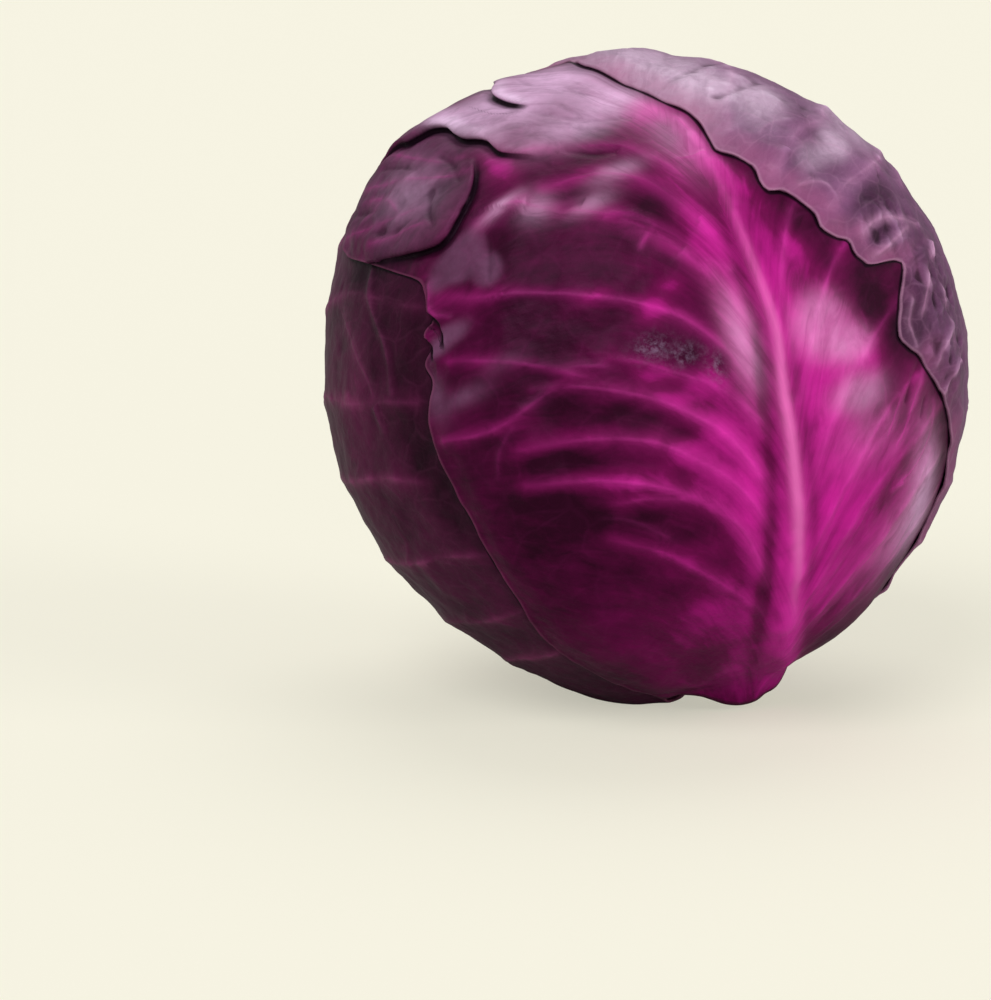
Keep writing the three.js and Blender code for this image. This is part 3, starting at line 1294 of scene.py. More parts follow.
@dataclass
class OuterLeaf:
    """One of the three big leaves laid over the nest, one over another.

    Attributes:
        piece: What it is called and what it stands for.
        chart: Where the leaf lies.
        finish: Its skin.
        placing: How its marks are placed.
        midrib: The midrib as a vein.
        fans: Its side veins, left and right.
        veins: Veins and ridges that are placed one by one.
        folds: Its pleats.
        tone: Tone of its blade before anything else, 0 dark to 1 bright.
        ribbed: How much brighter the side veins are than the hollows between them.
        swell: How far the blade swells along the side veins.
        quiets: Patches where the side veins fade.
        brights: Patches of brighter blade.
        darks: Patches of darker blade, which on the left and back leaves include painted shade.
        blooms_and_sheens: Patches of pale waxy bloom, which on the front leaf include painted sheen and
            highlights.
        dusts: Patches of dull bloom.
        dust_all: Dull bloom all over the leaf.
        frosts: Patches with pale specks.
        crumples: Crumpled patches.
        crumple_size: Width of the crumples.
        ripple: Height of the waves in its margin.
        lift: Patches where its margin lifts, strength.
        wrinkle: Height of its soft waves.
        grid: Faces across its outer side.
        gather: Where the rows and columns lie closer.
        seed: Picks its small differences.
    """

    piece: Piece
    chart: LeafChart
    finish: LeafFinish
    placing: Placing
    midrib: Vein
    fans: Sequence[LateralFan]
    veins: Sequence[Vein] = ()
    folds: Sequence[Fold] = ()
    tone: float = 0.5
    ribbed: float = 0.3
    swell: float = 0.3
    quiets: Sequence[Patch] = ()
    brights: Sequence[Patch] = ()
    darks: Sequence[Patch] = ()
    blooms_and_sheens: Sequence[Patch] = ()
    dusts: Sequence[Patch] = ()
    dust_all: float = 0.0
    frosts: Sequence[Patch] = ()
    crumples: Sequence[Patch] = ()
    crumple_size: float = 11.0
    ripple: float = 0.5
    lift: Sequence[Patch] = ()
    wrinkle: float = 0.35
    grid: int = 280
    gather: Spot = (0.0, 0.1)
    seed: int = 1

    def lines(self) -> list[Vein]:
        """Return every vein but the midrib."""
        return [vein for fan in self.fans for vein in fan.veins()] + list(self.veins)


class LeafSurface:
    """The relief, the sideways push and the masks of one leaf, worked out at its sheet's corners."""

    def __init__(self, leaf: OuterLeaf, sheet: LeafSheet) -> None:
        """Work everything out.

        Args:
            leaf: The leaf.
            sheet: Its sheet.
        """
        self.leaf = leaf
        self.directions = sheet.directions
        self.places = sheet.directions * sheet.shape.base
        self.across, self.up = leaf.chart.across_and_up(sheet.directions, leaf.placing)
        count = len(self.directions)
        self.relief = np.zeros(count)
        self.push = np.zeros((count, 3))
        self.masks: dict[str, Array] = {}
        self._side_veins()
        self._midrib()
        self._waves()
        self._folds()
        self.masks["relief_shade"] = self._relief_shade(sheet)
        self._colours()

    def _side_veins(self) -> None:
        """Raise the side veins, and note where they are and where they take their own colour."""
        leaf, count = self.leaf, len(self.across)
        veins, beside_main = np.zeros(count), np.full(count, MAIN_VEIN_REACH)
        closest, second = np.full(count, np.inf), np.full(count, np.inf)
        thin, line_mask = np.zeros(count), np.full(count, 0.5)
        for line in leaf.lines():
            reach = MAIN_VEIN_REACH if line.main else SMALL_VEIN_REACH
            route = LeafLine(leaf.chart, leaf.placing, line.places)
            near, away, along, _ = route.beside(self.directions, reach)
            taper = line.end + (1.0 - line.end) * (1.0 - along) ** 0.8
            start = smoothstep(along, -0.02, 0.15)
            crest = line.height * taper * start * bell(away, line.width * taper + 0.35)
            further = np.maximum if line.height > 0.0 else np.minimum
            self.relief[near] = further(self.relief[near], crest)
            closer = np.abs(away) < closest[near]
            chosen = near[closer]
            second[near] = np.minimum(second[near], np.maximum(np.abs(away), closest[near]))
            closest[chosen] = np.abs(away)[closer]
            line_mask[chosen] = 0.5 + away[closer] / MASK_REACH
            drawn = line.glow * taper**0.5 * start * fade(along, 0.8, 1.0)
            thin[chosen] = (drawn * fade(np.abs(away), 1.5, 3.0))[closer]
            glow = line.glow * taper * (0.4 + 0.6 * start) * bell(away, line.width * taper + 0.5)
            veins[near] = np.maximum(veins[near], glow)
            if line.main:
                faint = 3.0 * (1.0 - min(line.glow * 2, 1.0))
                beside_main[near] = np.minimum(beside_main[near], np.abs(away) + faint)
        loud = 1.0 - patched(leaf.quiets, self.across, self.up)
        lone = smoothstep(second - np.minimum(closest, 99.0), 0.4, 2.0)
        self.masks |= {"line": line_mask, "thin": 1.3 * thin * loud * lone}
        self.relief *= 0.4 + 0.6 * loud
        self.relief += leaf.swell * (bell(beside_main, 4.0) - 0.6 * smoothstep(beside_main, 4.0, 8.0)) - 0.3
        self.ribs, self.veins = bell(beside_main, 3.2) * loud, veins * loud

    def _midrib(self) -> None:
        """Raise the midrib with a groove on each side of it, paint shade into the grooves and lay its pale
        colour, which low down lies on its right flank as a painted highlight.
        """
        leaf, count = self.leaf, len(self.across)
        rib = leaf.midrib
        route = LeafLine(leaf.chart, leaf.placing, rib.places)
        near, away, along, _ = route.beside(self.directions, MIDRIB_REACH)
        taper = rib.end + (1.0 - rib.end) * (1.0 - along)
        width = rib.width * (0.35 + 0.65 * taper)
        root = smoothstep(along, 0.0, 0.2)
        crest = bell(away, width) * (0.3 + 0.7 * taper) * rib.height
        self.relief[near] += (crest + 0.7 * taper * bell(away, width * 2.4)) * (0.35 + 0.65 * root)
        groove = bell(away - width * 2.1, width * 0.7) + 0.5 * bell(away + width * 1.7, width * 0.6)
        self.relief[near] -= 0.3 * taper * groove * root
        shown = fade(along, 0.62, 1.0)
        self.masks["midrib"] = np.zeros(count)
        # The midrib's own pale colour; low down the band is shifted onto its right flank, seen from
        # outside, as a painted highlight of the lit side.
        narrow = fade(along, 0.2, 0.55)
        pale = bell(away + 0.5 * width * narrow, width * (0.55 - 0.25 * narrow))
        pale *= rib.base + (1.0 - rib.base) * smoothstep(along, 0.24, 0.48)
        self.masks["midrib"][near] = rib.glow * pale * shown
        glow = 0.35 * bell(away, width * 1.3) * shown * root
        self.veins[near] = np.maximum(self.veins[near], glow)
        # Painted shade in the grooves beside the midrib.
        self.groove_shade = np.zeros(count)
        self.groove_shade[near] = rib.glow * np.minimum(groove, 1.0) * shown * root

    def _waves(self) -> None:
        """Add the soft waves and the crumples, and note how deep each place lies in the crumples' hollows,
        for the painted shade there.
        """
        leaf = self.leaf
        crumple = patched(leaf.crumples, self.across, self.up)
        self.waves = Mottle(17.0, 4, leaf.seed).at(self.places)
        ripples = Mottle(6.0, 2, leaf.seed + 7).at(self.places)
        self.relief += leaf.wrinkle * (self.waves + 0.35 * ripples)
        ridged = 1.0 - np.abs(Mottle(leaf.crumple_size, 3, leaf.seed + 3).at(self.places)) * 1.8
        self.relief += 1.6 * crumple * ridged
        self.lows = crumple * smoothstep(-ridged, -0.45, 0.3)

    def _folds(self) -> None:
        """Lean the pleats over their gaps and measure the distances to them."""
        leaf, count = self.leaf, len(self.across)
        gap, fold_size = np.full(count, MASK_REACH / 2.0), np.zeros(count)
        closest = np.full(count, np.inf)
        for fold in leaf.folds:
            line = LeafLine(leaf.chart, leaf.placing, fold.places)
            near, away, along, towards = line.beside(self.directions, FOLD_REACH)
            ends = fold.ends[0] * (1.0 - along) + fold.ends[1] * along
            size = np.maximum(np.sin(np.pi * np.clip(along, 0.0, 1.0)) ** 0.6, ends)
            wall = smoothstep(away, -0.6, 1.0)
            back = bell(np.maximum(away, 0.0), fold.back)
            hollow = bell(away + 1.4, 1.6)
            self.relief[near] += size * (fold.height * back * wall - min(fold.height, 1.0) * hollow)
            over = size * fold.overhang * wall * bell(np.maximum(away, 0.0), 4.0)
            self.push[near] -= towards * over[:, None]
            reached = np.abs(away) / np.maximum(size, 0.05)
            better = reached < closest[near]
            chosen = near[better]
            closest[chosen] = reached[better]
            gap[chosen] = away[better]
            fold_size[chosen] = (size * fade(np.abs(away), 5.0, 8.0))[better]
        # Gap and fold tell the material where to paint shade into the folds' gaps.
        self.masks["gap"] = 0.5 + gap / MASK_REACH
        self.masks["fold"] = smoothstep(fold_size, 0.05, 0.6)

    def _relief_shade(self, sheet: LeafSheet) -> Array:
        """Compare the relief with its smoothed self, for the painted shade in its hollows and the painted
        light on its crests.

        Args:
            sheet: The leaf's sheet.

        Returns:
            How far each place stands out, with 0.5 where it is level.
        """
        side, reach = sheet.grid + 1, 4
        relief = self.relief[: side * side].reshape(side, side)
        level = relief
        for axis in (0, 1, 0, 1):
            widths = [(reach, reach) if axis == turn else (0, 0) for turn in (0, 1)]
            padded = np.pad(level, widths, mode="edge")
            shifts = range(2 * reach + 1)
            rows = [np.take(padded, range(shift, shift + side), axis=axis) for shift in shifts]
            level = np.mean(rows, axis=0)
        relief_shade = np.full(len(self.relief), 0.5)
        relief_shade[: side * side] += (relief - level).ravel() / 2.0
        return relief_shade

    def _colours(self) -> None:
        """Work out the masks for the colours."""
        leaf, across, up, ribs = self.leaf, self.across, self.up, self.ribs
        bright, dark = patched(leaf.brights, across, up), patched(leaf.darks, across, up)
        bloom_and_sheen = patched(leaf.blooms_and_sheens, across, up)
        sideways = smoothstep(np.abs(across), 5.0, 12.0)
        tone = leaf.tone + leaf.ribbed * (ribs - 0.4) * sideways
        tone = tone + (1.0 - tone) * bright
        # The tone takes the painted shade in the grooves beside the midrib.
        tone = tone * (1.0 - dark * (1.0 - 0.3 * ribs * sideways)) * (1.0 - 0.4 * self.groove_shade)
        dust = np.maximum(patched(leaf.dusts, across, up), leaf.dust_all * (1.0 - 0.9 * dark))
        # The crumples' hollows get painted shade: a darker tone, and less bloom and dust.
        self.masks |= {
            "tone": tone * (1.0 - 0.7 * self.lows) + 0.1 * self.waves,
            "vein": 0.8 * self.veins * (1.0 - 0.6 * dark) * (1.0 - 0.5 * bloom_and_sheen),
            "bloom_and_sheen": bloom_and_sheen * (1.0 - 0.5 * self.lows) * (1.0 - 0.6 * dark),
            "dust": dust * (1.0 - 0.6 * self.lows),
            "frost": patched(leaf.frosts, across, up),
            "streaky": fade(np.abs(across), 45.0, 66.0),
        }


@dataclass
class OuterLeaves:
    """The three outer leaves, from the lowest to the top one.

    Attributes:
        shape: The head's shape.
        leaves: The leaves.
        thickness: Of a leaf at its middle.
        rim: Thickness at the margin.
        pitch: From one leaf to the next one over it.
        press: How much closer a margin lies to the leaf under it.
        sink: How much lower a leaf lies where it is well covered.
        lip: Degrees past a margin where the leaf over it is still at full height.
        ramp: Degrees in which that leaf comes down again.
    """

    shape: HeadShape
    leaves: Sequence[OuterLeaf]
    thickness: float = 1.5
    rim: float = 0.6
    pitch: float = 2.1
    press: float = 1.2
    sink: float = 1.6
    lip: float = 2.0
    ramp: float = 9.0

    def build(self) -> list[Object]:
        """Make the three leaves, from the lowest to the top one."""
        return [self._build_leaf(layer) for layer in range(len(self.leaves))]

    def _lifted(self, directions: Array, leaves: Sequence[OuterLeaf]) -> Array:
        """Measure how far a stack of leaves lifts what lies over it.

        Args:
            directions: Unit directions.
            leaves: The stack.

        Returns:
            The lift in each direction.
        """
        total = np.zeros(len(directions))
        for leaf in leaves:
            past = leaf.chart.past_margin(directions)
            total += self.pitch * fade(past, self.lip, self.lip + self.ramp)
        return total

    def _build_leaf(self, layer: int) -> Object:
        """Make one leaf with its relief and its masks.

        Args:
            layer: Its place, 0 for the lowest.

        Returns:
            The piece.
        """
        leaf = self.leaves[layer]
        sheet = LeafSheet(self.shape, leaf.chart, leaf.grid, 72, leaf.gather)
        directions = sheet.directions
        under, over = self.leaves[:layer], self.leaves[layer + 1:]
        resting = self.shape.floor_radius(directions) - self._lifted(directions, over)
        laid = self.shape.base_radius(directions) + self.thickness + self._lifted(directions, under)
        free = fade(laid, resting - 3.0, resting - 0.5)
        past = np.full(len(directions), 90.0)
        for other in over:
            past = np.minimum(past, other.chart.past_margin(directions))
        free *= smoothstep(past, -1.0, 3.0)

        surface = LeafSurface(leaf, sheet)
        margin = sheet.margin_distance()
        degree = math.radians(self.shape.base)
        # Cover, the distance past the margin of the leaf over it, carries that leaf's painted shadow.
        masks = surface.masks | {"rim": margin * degree / MASK_REACH, "cover": past * degree / MASK_REACH}
        laid -= self.press * fade(margin, 0.0, 6.0) + self.sink * smoothstep(-past, 3.0, 9.0)
        relief = np.maximum(surface.relief, -0.4 - smoothstep(margin, 0.0, 7.0))
        relief = np.where(sheet.inner, np.minimum(relief, 0.0), relief)
        relief += self._margin_lift(leaf, sheet, margin)
        radius = np.minimum(laid + relief * free, resting)
        thickness = self.rim + (self.thickness - self.rim) * smoothstep(margin, 0.0, 9.0)
        radius = radius - np.where(sheet.inner, thickness, 0.0)
        moved = unit(directions + surface.push * (free / self.shape.base)[:, None])
        places, flow = moved * radius[:, None], self._flow(leaf, directions)
        return sheet.finish(leaf.piece, places, masks, flow, LeafSkin(leaf.finish).owner)

    def _flow(self, leaf: OuterLeaf, directions: Array) -> Array:
        """Lay coordinates along and across a leaf's side veins.

        Args:
            leaf: The leaf.
            directions: Unit directions.

        Returns:
            Rows of along and across.
        """
        across, up = leaf.chart.across_and_up(directions, leaf.placing)
        left, right = leaf.fans
        label = np.where(across < 0.0, left.label(across, up), right.label(across, up))
        along = np.abs(across) + np.where(across < 0.0, 0.0, 200.0)
        return np.column_stack([along, label]) * math.radians(self.shape.base)

    @staticmethod
    def _margin_lift(leaf: OuterLeaf, sheet: LeafSheet, margin: Array) -> Array:
        """Let a leaf's margin lift and ripple.

        Args:
            leaf: The leaf.
            sheet: Its sheet.
            margin: How far in from the margin each corner is.

        Returns:
            The lift of each corner.
        """
        across, up = leaf.chart.across_and_up(sheet.directions, leaf.placing)
        near = fade(margin, 0.0, 7.0)
        lifted = leaf.ripple * Mottle(9.0, 2, leaf.seed + 11).at(sheet.directions * OUTER_RADIUS) * near
        for patch in leaf.lift:
            lifted += patch.strength * np.exp(-patch.away(across, up)) * fade(margin, 0.0, 14.0)
        return lifted


@dataclass
class InnerLeaves:
    """The nest of leaves inside, each a closed cup round the core.

    Attributes:
        shape: The head's shape.
        count: How many there are.
        older: How many of them, from the outside in, have the older leaves' skin.
        start: From the base radius in to the first one.
        pitch: From one to the next.
        rise: Each one in is centred this much higher along the axis.
        thickness: Of a leaf.
        rim: Thickness at the margin.
        stem_room: Radius of the stem in the outermost one.
        stem_gap: Between a leaf and the stem.
        grid: Faces across the largest one.
    """

    shape: HeadShape
    count: int = 18
    older: int = 12
    start: float = 3.2
    pitch: float = 3.8
    rise: float = 0.9
    thickness: float = 1.4
    rim: float = 0.7
    stem_room: float = 14.5
    stem_gap: float = 1.2
    grid: int = 48

    def build(self) -> list[Object]:
        """Make the leaves, from the outside in."""
        skins = [LeafSkin(finish).owner for finish in (INSIDE, YOUNG)]
        return [self._build_leaf(number, skins) for number in range(self.count)]

    def _build_leaf(self, number: int, skins: Sequence[Material]) -> Object:
        """Make one leaf.

        Args:
            number: Its place, 0 for the outermost.
            skins: The skins of an older and of a younger leaf.

        Returns:
            The piece.
        """
        size = self.shape.base - self.start - number * self.pitch
        share = size / self.shape.base
        chart = LeafChart(3 + number, self._outline(size))
        grid = max(20, int(self.grid * math.sqrt(share)))
        sheet = LeafSheet(self.shape, chart, grid, grid)
        lean, rise = chart.across_and_up(sheet.directions, Placing.MIDRIB)
        rib = bell(lean, 4.0) * fade(rise, 60.0, 125.0)
        label = rise - 26.0 * (1.0 - np.exp(-np.abs(lean) / 18.0))
        ribs = np.maximum(np.cos(np.radians(label * 24.0)), 0.0) ** 3
        margin = sheet.margin_distance()
        thickness = self.rim + (self.thickness - self.rim) * smoothstep(margin, 0.0, 10.0)
        radius = share * (self.shape.base_radius(sheet.directions) + 0.5 * rib + 0.12 * ribs)
        radius = radius - np.where(sheet.inner, thickness * (0.4 + 0.6 * share), 0.0)
        places = sheet.directions * radius[:, None]
        places[:, 2] += number * self.rise
        masks = {
            "tone": 0.45 + 0.3 * bell(lean, 25.0) + 0.2 * ribs,
            "midrib": 0.8 * rib,
            "vein": np.maximum(0.3 * ribs, 0.6 * fade(rise, 20.0, 60.0)),
            "dust": np.full(len(radius), 0.15),
            "rim": margin * math.radians(size) / MASK_REACH,
            "cover": np.ones(len(radius)),
            "gap": np.ones(len(radius)),
        }
        flow = np.column_stack([np.abs(lean), label]) * math.radians(size)
        young = number >= self.older
        place = f"{number + 1:02d}"
        slot = "leaf_heart" if young else "leaf_inner"
        piece = Piece(f"leaf_in_{place}", f"inner_leaf_{place}", slot)
        return sheet.finish(piece, places, masks, flow, skins[young])

    def _outline(self, size: float) -> list[Spot]:
        """Shape an inner leaf's outline, which leaves room for the stem.

        Args:
            size: Radius of the leaf.

        Returns:
            Knots of heading and reach.
        """
        room = self.stem_room * math.sqrt(size / self.shape.base) + self.stem_gap
        neck = math.degrees(math.asin(min(0.9, room / size)))
        reach = LEAF_MIDDLE - neck
        return [
            (0.0, 98.0), (60.0, 92.0), (110.0, 86.0),
            (180.0 - 1.3 * neck, reach), (180.0 + 1.3 * neck, reach),
            (250.0, 86.0), (300.0, 92.0),
        ]


# ---- Core ----
@dataclass
class Core:
    """The stem's cut end, the cone that rises from it and the bud on its tip.

    Attributes:
        shape: The head's shape.
        butt: From the head's centre down to the cut end.
        tip: From the head's centre up to the tip of the cone.
        radius: At the cut end.
        belly: How much thicker it gets, a little way in.
        bud_radius: Of the bud.
        bud_gap: From the cone's tip to the bud.
    """

    shape: HeadShape
    butt: float = 85.2
    tip: float = 6.0
    radius: float = 11.0
    belly: float = 5.0
    bud_radius: float = 7.0
    bud_gap: float = 0.5

    def build(self) -> list[Object]:
        """Make the core and the bud."""
        return [self._core(), self._bud()]

    def thickness_at(self, height: float) -> float:
        """Return the core's radius at a height from the head's centre."""
        up = min(max((height + self.butt) / (self.butt + self.tip), 0.0), 1.0)
        return self.radius * math.sqrt(1.0 - up**1.6) + self.belly * math.sin(math.pi * math.sqrt(up)) ** 2

    @staticmethod
    def _ball(rings: int, around: int) -> tuple[Mesh, Array, Array]:
        """Make a ball to be reshaped.

        Args:
            rings: Steps from its lower pole to its upper one.
            around: Steps round it.

        Returns:
            The mesh, each corner's step from the lower pole and its direction round the axis.
        """
        ball = bmesh.new()
        bmesh.ops.create_uvsphere(ball, u_segments=around, v_segments=rings, radius=1.0)
        mesh = mesh_of("ball", ball)
        corners = corners_of(mesh)
        step = np.arccos(np.clip(-corners[:, 2], -1.0, 1.0)) / math.pi * rings
        return mesh, np.rint(step).astype(int), np.arctan2(corners[:, 1], corners[:, 0])

    def _turned(self, radius: Array, height: Array, turn: Array) -> Array:
        """Return places in the model's frame from their radius, height and direction round the axis."""
        places = np.column_stack([radius * np.cos(turn), radius * np.sin(turn), height])
        return self.shape.to_model(places)

    def _core(self) -> Object:
        """Make the core with its cut end.

        Returns:
            The piece.
        """
        rings = [(0.0, -self.butt + 0.5), (3.0, -self.butt + 0.45), (6.0, -self.butt + 0.2),
                 (9.0, -self.butt + 0.05), (10.3, -self.butt + 0.1), (10.9, -self.butt + 0.7)]
        heights = np.linspace(-self.butt + 1.8, self.tip - 0.2, 60)
        rings += [(self.thickness_at(height), height) for height in heights]
        rings.append((0.0, self.tip))
        mesh, step, turn = self._ball(len(rings) - 1, 96)
        radius, height = np.array(rings)[step].T
        flute = 0.25 * np.cos(7.0 * turn + 0.4) + 0.15 * np.cos(16.0 * turn) - 0.4
        radius = radius * (1.0 + flute * smoothstep(radius, 2.0, 9.0) / 14.0)
        piece = Piece("stem_core", "core", "core_flesh")
        return piece.put(mesh, self._turned(radius, height, turn), self._flesh())

    def _bud(self) -> Object:
        """Make the tight bud of young leaves.

        Returns:
            The piece.
        """
        rings = 24
        mesh, step, turn = self._ball(rings, 48)
        polar = step * math.pi / rings
        radius, height = self.bud_radius * np.sin(polar), -self.bud_radius * np.cos(polar)
        pleat = 0.5 * np.abs(np.sin(2.5 * turn + height * 0.35)) - 0.5
        radius = radius * (1.0 + pleat * smoothstep(radius, 0.5, 4.0) / self.bud_radius)
        height = height + self.tip + self.bud_gap + self.bud_radius
        piece = Piece("heart_bud_leaves", "heart_bud", "leaf_heart")
        return piece.put(mesh, self._turned(radius, height, turn), self._young_skin())

    @staticmethod
    def _young_skin() -> Material:
        """Mix the skin of the bud's young leaves.

        Returns:
            The material.
        """
        nodes = Nodes(bpy.data.materials.new("bud_leaves"))
        place = nodes.add("ShaderNodeTexCoord").outputs["Object"]
        blotch = nodes.noise(place, 220.0, 4.0)
        colour = nodes.mix(nodes.ease(blotch, 0.3, 0.7), srgb(196, 140, 180), srgb(236, 214, 226))
        normal = nodes.bump(blotch, 0.4, 0.0004)
        nodes.shade({"Base Color": colour, "Roughness": 0.45, "Normal": normal})
        return nodes.owner

    @staticmethod
    def _flesh() -> Material:
        """Mix the stem's flesh: cream, fibrous, tan and dry where it was cut.

        Returns:
            The material.
        """
        nodes = Nodes(bpy.data.materials.new("stem_flesh"))
        place = nodes.add("ShaderNodeTexCoord").outputs["Object"]
        blotch = nodes.noise(place, 140.0, 6.0, 0.6)
        fibres = nodes.cells(place, 900.0)
        colour = nodes.mix(nodes.ease(blotch, 0.35, 0.7), srgb(232, 216, 184), srgb(206, 178, 132))
        colour = nodes.mix(nodes.ease(fibres, 0.0, 0.25, 0.5, 0.0), colour, srgb(150, 112, 78))
        normal = nodes.bump(blotch, 0.5, 0.001, nodes.bump(fibres, 0.5, 0.0005))
        nodes.shade({"Base Color": colour, "Roughness": 0.7, "Normal": normal})
        return nodes.owner


# ---- Studio ----
@dataclass(frozen=True)
class Lamp:
    """A wide soft lamp, far away.

    Attributes:
        name: Name of the lamp.
        towards: Where it is, seen from the head.
        share: How much of the light it gives to what faces it.
        width: How wide it looks from the head.
    """

    name: str
    towards: tuple[float, float, float]
    share: float
    width: float


@dataclass
class Studio:
    """Camera, lamps, floor and world.

    Attributes:
        shape: The head's shape.
        cream: Colour of the floor and of the background.
        bounce: Colour of the light that the floor throws back.
        air: Colour of the light that comes from all round.
        room: How much light comes from all round.
        lamps: The lamps.
        lens: Focal length in millimetres.
        elevation: Angle at which the camera looks down on the head.
        view_width: Width in metres of what the camera sees at the head.
        aside: How far right of the view's middle the head's middle is, in metres.
        above: How far above it, in metres.
        drop: How far below the head the floor lies, in metres, so that the two don't flicker.
    """

    shape: HeadShape
    cream: Colour = srgb(252, 249, 232)
    bounce: Colour = (0.45, 0.43, 0.4)
    air: Colour = (1.0, 0.99, 0.97)
    room: float = 0.28
    lamps: Sequence[Lamp] = (
        Lamp("key", (-0.35, -0.7, 0.7), 0.42, 35.0),
        Lamp("front", (0.2, -1.0, -0.05), 0.34, 40.0),
        Lamp("side", (0.9, -0.45, 0.3), 0.36, 30.0),
        Lamp("top", (0.05, 0.45, 0.9), 0.25, 50.0),
    )
    lens: float = 120.0
    elevation: float = 8.0
    view_width: float = 0.2626
    aside: float = 0.0399
    above: float = 0.0329
    drop: float = 0.0002

    def build(self) -> None:
        """Set up everything that isn't the cabbage."""
        self.scene.view_settings.view_transform = "Standard"
        self._camera()
        self._floor()
        self._world()
        self._lamps()

    @property
    def scene(self) -> Scene:
        """The scene that it is built in."""
        return bpy.context.scene

    def _camera(self) -> None:
        """Place the camera."""
        camera = bpy.data.cameras.new("camera")
        camera.lens = self.lens
        camera.sensor_fit = "HORIZONTAL"
        camera.sensor_width = 36.0
        camera.clip_start = 0.05
        middle = Vector(self.shape.centre * MM)
        away = self.lens / camera.sensor_width * self.view_width
        tilt = math.radians(self.elevation)
        place = middle + away * Vector((0.0, -math.cos(tilt), math.sin(tilt)))
        upward = Vector((0.0, math.sin(tilt), math.cos(tilt)))
        aim = middle - self.aside * Vector((1.0, 0.0, 0.0)) - self.above * upward
        stand = bpy.data.objects.new("camera", camera)
        stand.location = place
        stand.rotation_euler = (aim - place).to_track_quat("-Z", "Y").to_euler()
        self.scene.collection.objects.link(stand)
        self.scene.camera = stand

    def _floor(self) -> None:
        """Lay the pale floor."""
        flat = bmesh.new()
        bmesh.ops.create_circle(flat, cap_ends=True, cap_tris=False, segments=96, radius=40.0)
        mesh = mesh_of("floor", flat)
        floor = bpy.data.objects.new("floor", mesh)
        floor.location = (0.0, 0.0, -self.drop)
        self.scene.collection.objects.link(floor)
        nodes = Nodes(bpy.data.materials.new("floor"))
        matt = nodes.shade({"Base Color": self.cream, "Roughness": 1.0, "Specular IOR Level": 0.0})
        glow = nodes.add("ShaderNodeEmission", {"Color": self.cream, "Strength": 1.0}).outputs[0]
        dull = nodes.add("ShaderNodeBsdfDiffuse", {"Color": self.bounce}).outputs[0]
        lit = nodes.add("ShaderNodeMixShader", {0: 0.5, 1: matt, 2: glow}).outputs[0]
        output = nodes.tree.nodes["Material Output"]
        nodes.put(output.inputs["Surface"], nodes.for_camera(lit, dull))
        mesh.materials.append(nodes.owner)

    def _world(self) -> None:
        """Fill the room with soft light and give the background its colour."""
        world = self.scene.world = bpy.data.worlds.new("room")
        nodes = Nodes(world)
        nodes.tree.nodes.clear()
        soft, plain = (
            nodes.add("ShaderNodeBackground", {"Color": colour, "Strength": strength}).outputs[0]
            for colour, strength in ((self.air, self.room), (self.cream, 1.0))
        )
        nodes.add("ShaderNodeOutputWorld", {"Surface": nodes.for_camera(plain, soft)})

    def _lamps(self) -> None:
        """Hang the soft lamps, which are wide and far away."""
        for lamp in self.lamps:
            light = bpy.data.lights.new(lamp.name, "SUN")
            light.energy = lamp.share * math.pi
            light.angle = math.radians(lamp.width)
            stand = bpy.data.objects.new(lamp.name, light)
            away = Vector(lamp.towards)
            stand.location = away.normalized()
            stand.rotation_euler = (-away).to_track_quat("-Z", "Y").to_euler()
            self.scene.collection.objects.link(stand)


# ---- The left leaf, dusky and the lowest of the three ----
NECK = [(169.5, 86.9), (190.5, 86.9)]
LEFT_OUTLINE = [
    (0, 95), (45, 90), (90, 88), (150, 89), *NECK, (212, 89), (270, 85), (315, 90),
]
LEFT_VEINS = ridges(
    ([(38, 122), (46, 117), (52, 112), (57, 107), (60, 98)], 1.2, 0.9, 0.3, 0.6),
    ([(36, 126), (45, 121), (52, 116), (58, 110)], 1.4, -1.0, 0.0, 0.6),
    ([(50, 136), (54, 128), (60, 122), (66, 118)], 1.4, -1.0, 0.0, 0.6),
    ([(46, 134), (52, 124), (60, 116), (64, 106)], 1.0, 0.8, 0.2, 0.6),
)
LEFT_FANS = [
    LateralFan(
        Side.LEFT, (16, 29, 42, 55, 69, 83, 98, 114), climb=34, bend=16, reach=74, spread=0.35, width=1.5,
        height=0.45, glow=0.55, seed=5,
    ),
    LateralFan(
        Side.RIGHT, (22, 35, 48, 62, 76, 91, 106, 121), climb=34, bend=16, reach=74, spread=0.35,
        width=1.5, height=0.45, glow=0.3, seed=6,
    ),
]
LEFT_MIDRIB = Vein(
    [(0, 10), (0, 30), (1, 60), (-1, 90), (0, 125), (1, 160)],
    5.5, 2.8, 0.8, 0.15, base=0.9,
)
# Painted shade along the front leaf's margin and under its lifted flap.
LEFT_SHADE = patches(
    (68, 116, 7, 20, 0.97), (60, 124, 10, 5, 0.7), (72, 84, 7, 24, 0.8), (45, 128, 7, 5, 0.9, 1.5),
    (58, 112, 4, 10, 0.6),
)
LEFT_LEAF = OuterLeaf(
    piece=Piece("leaf_left", "outer_leaf_left", "leaf_dark"),
    chart=LeafChart(2, LEFT_OUTLINE),
    finish=DUSKY,
    placing=Placing.FLAT,
    midrib=LEFT_MIDRIB,
    fans=LEFT_FANS,
    veins=LEFT_VEINS,
    tone=0.42,
    brights=patches((0, 80, 14, 70, 0.5), (52, 104, 8, 12, 0.3)),
    darks=LEFT_SHADE,
    blooms_and_sheens=patches((0, 150, 30, 30, 0.4)),
    dusts=patches((52, 140, 14, 8, 0.3)),
    dust_all=0.05,
    wrinkle=0.45,
    grid=260,
    seed=3,
)


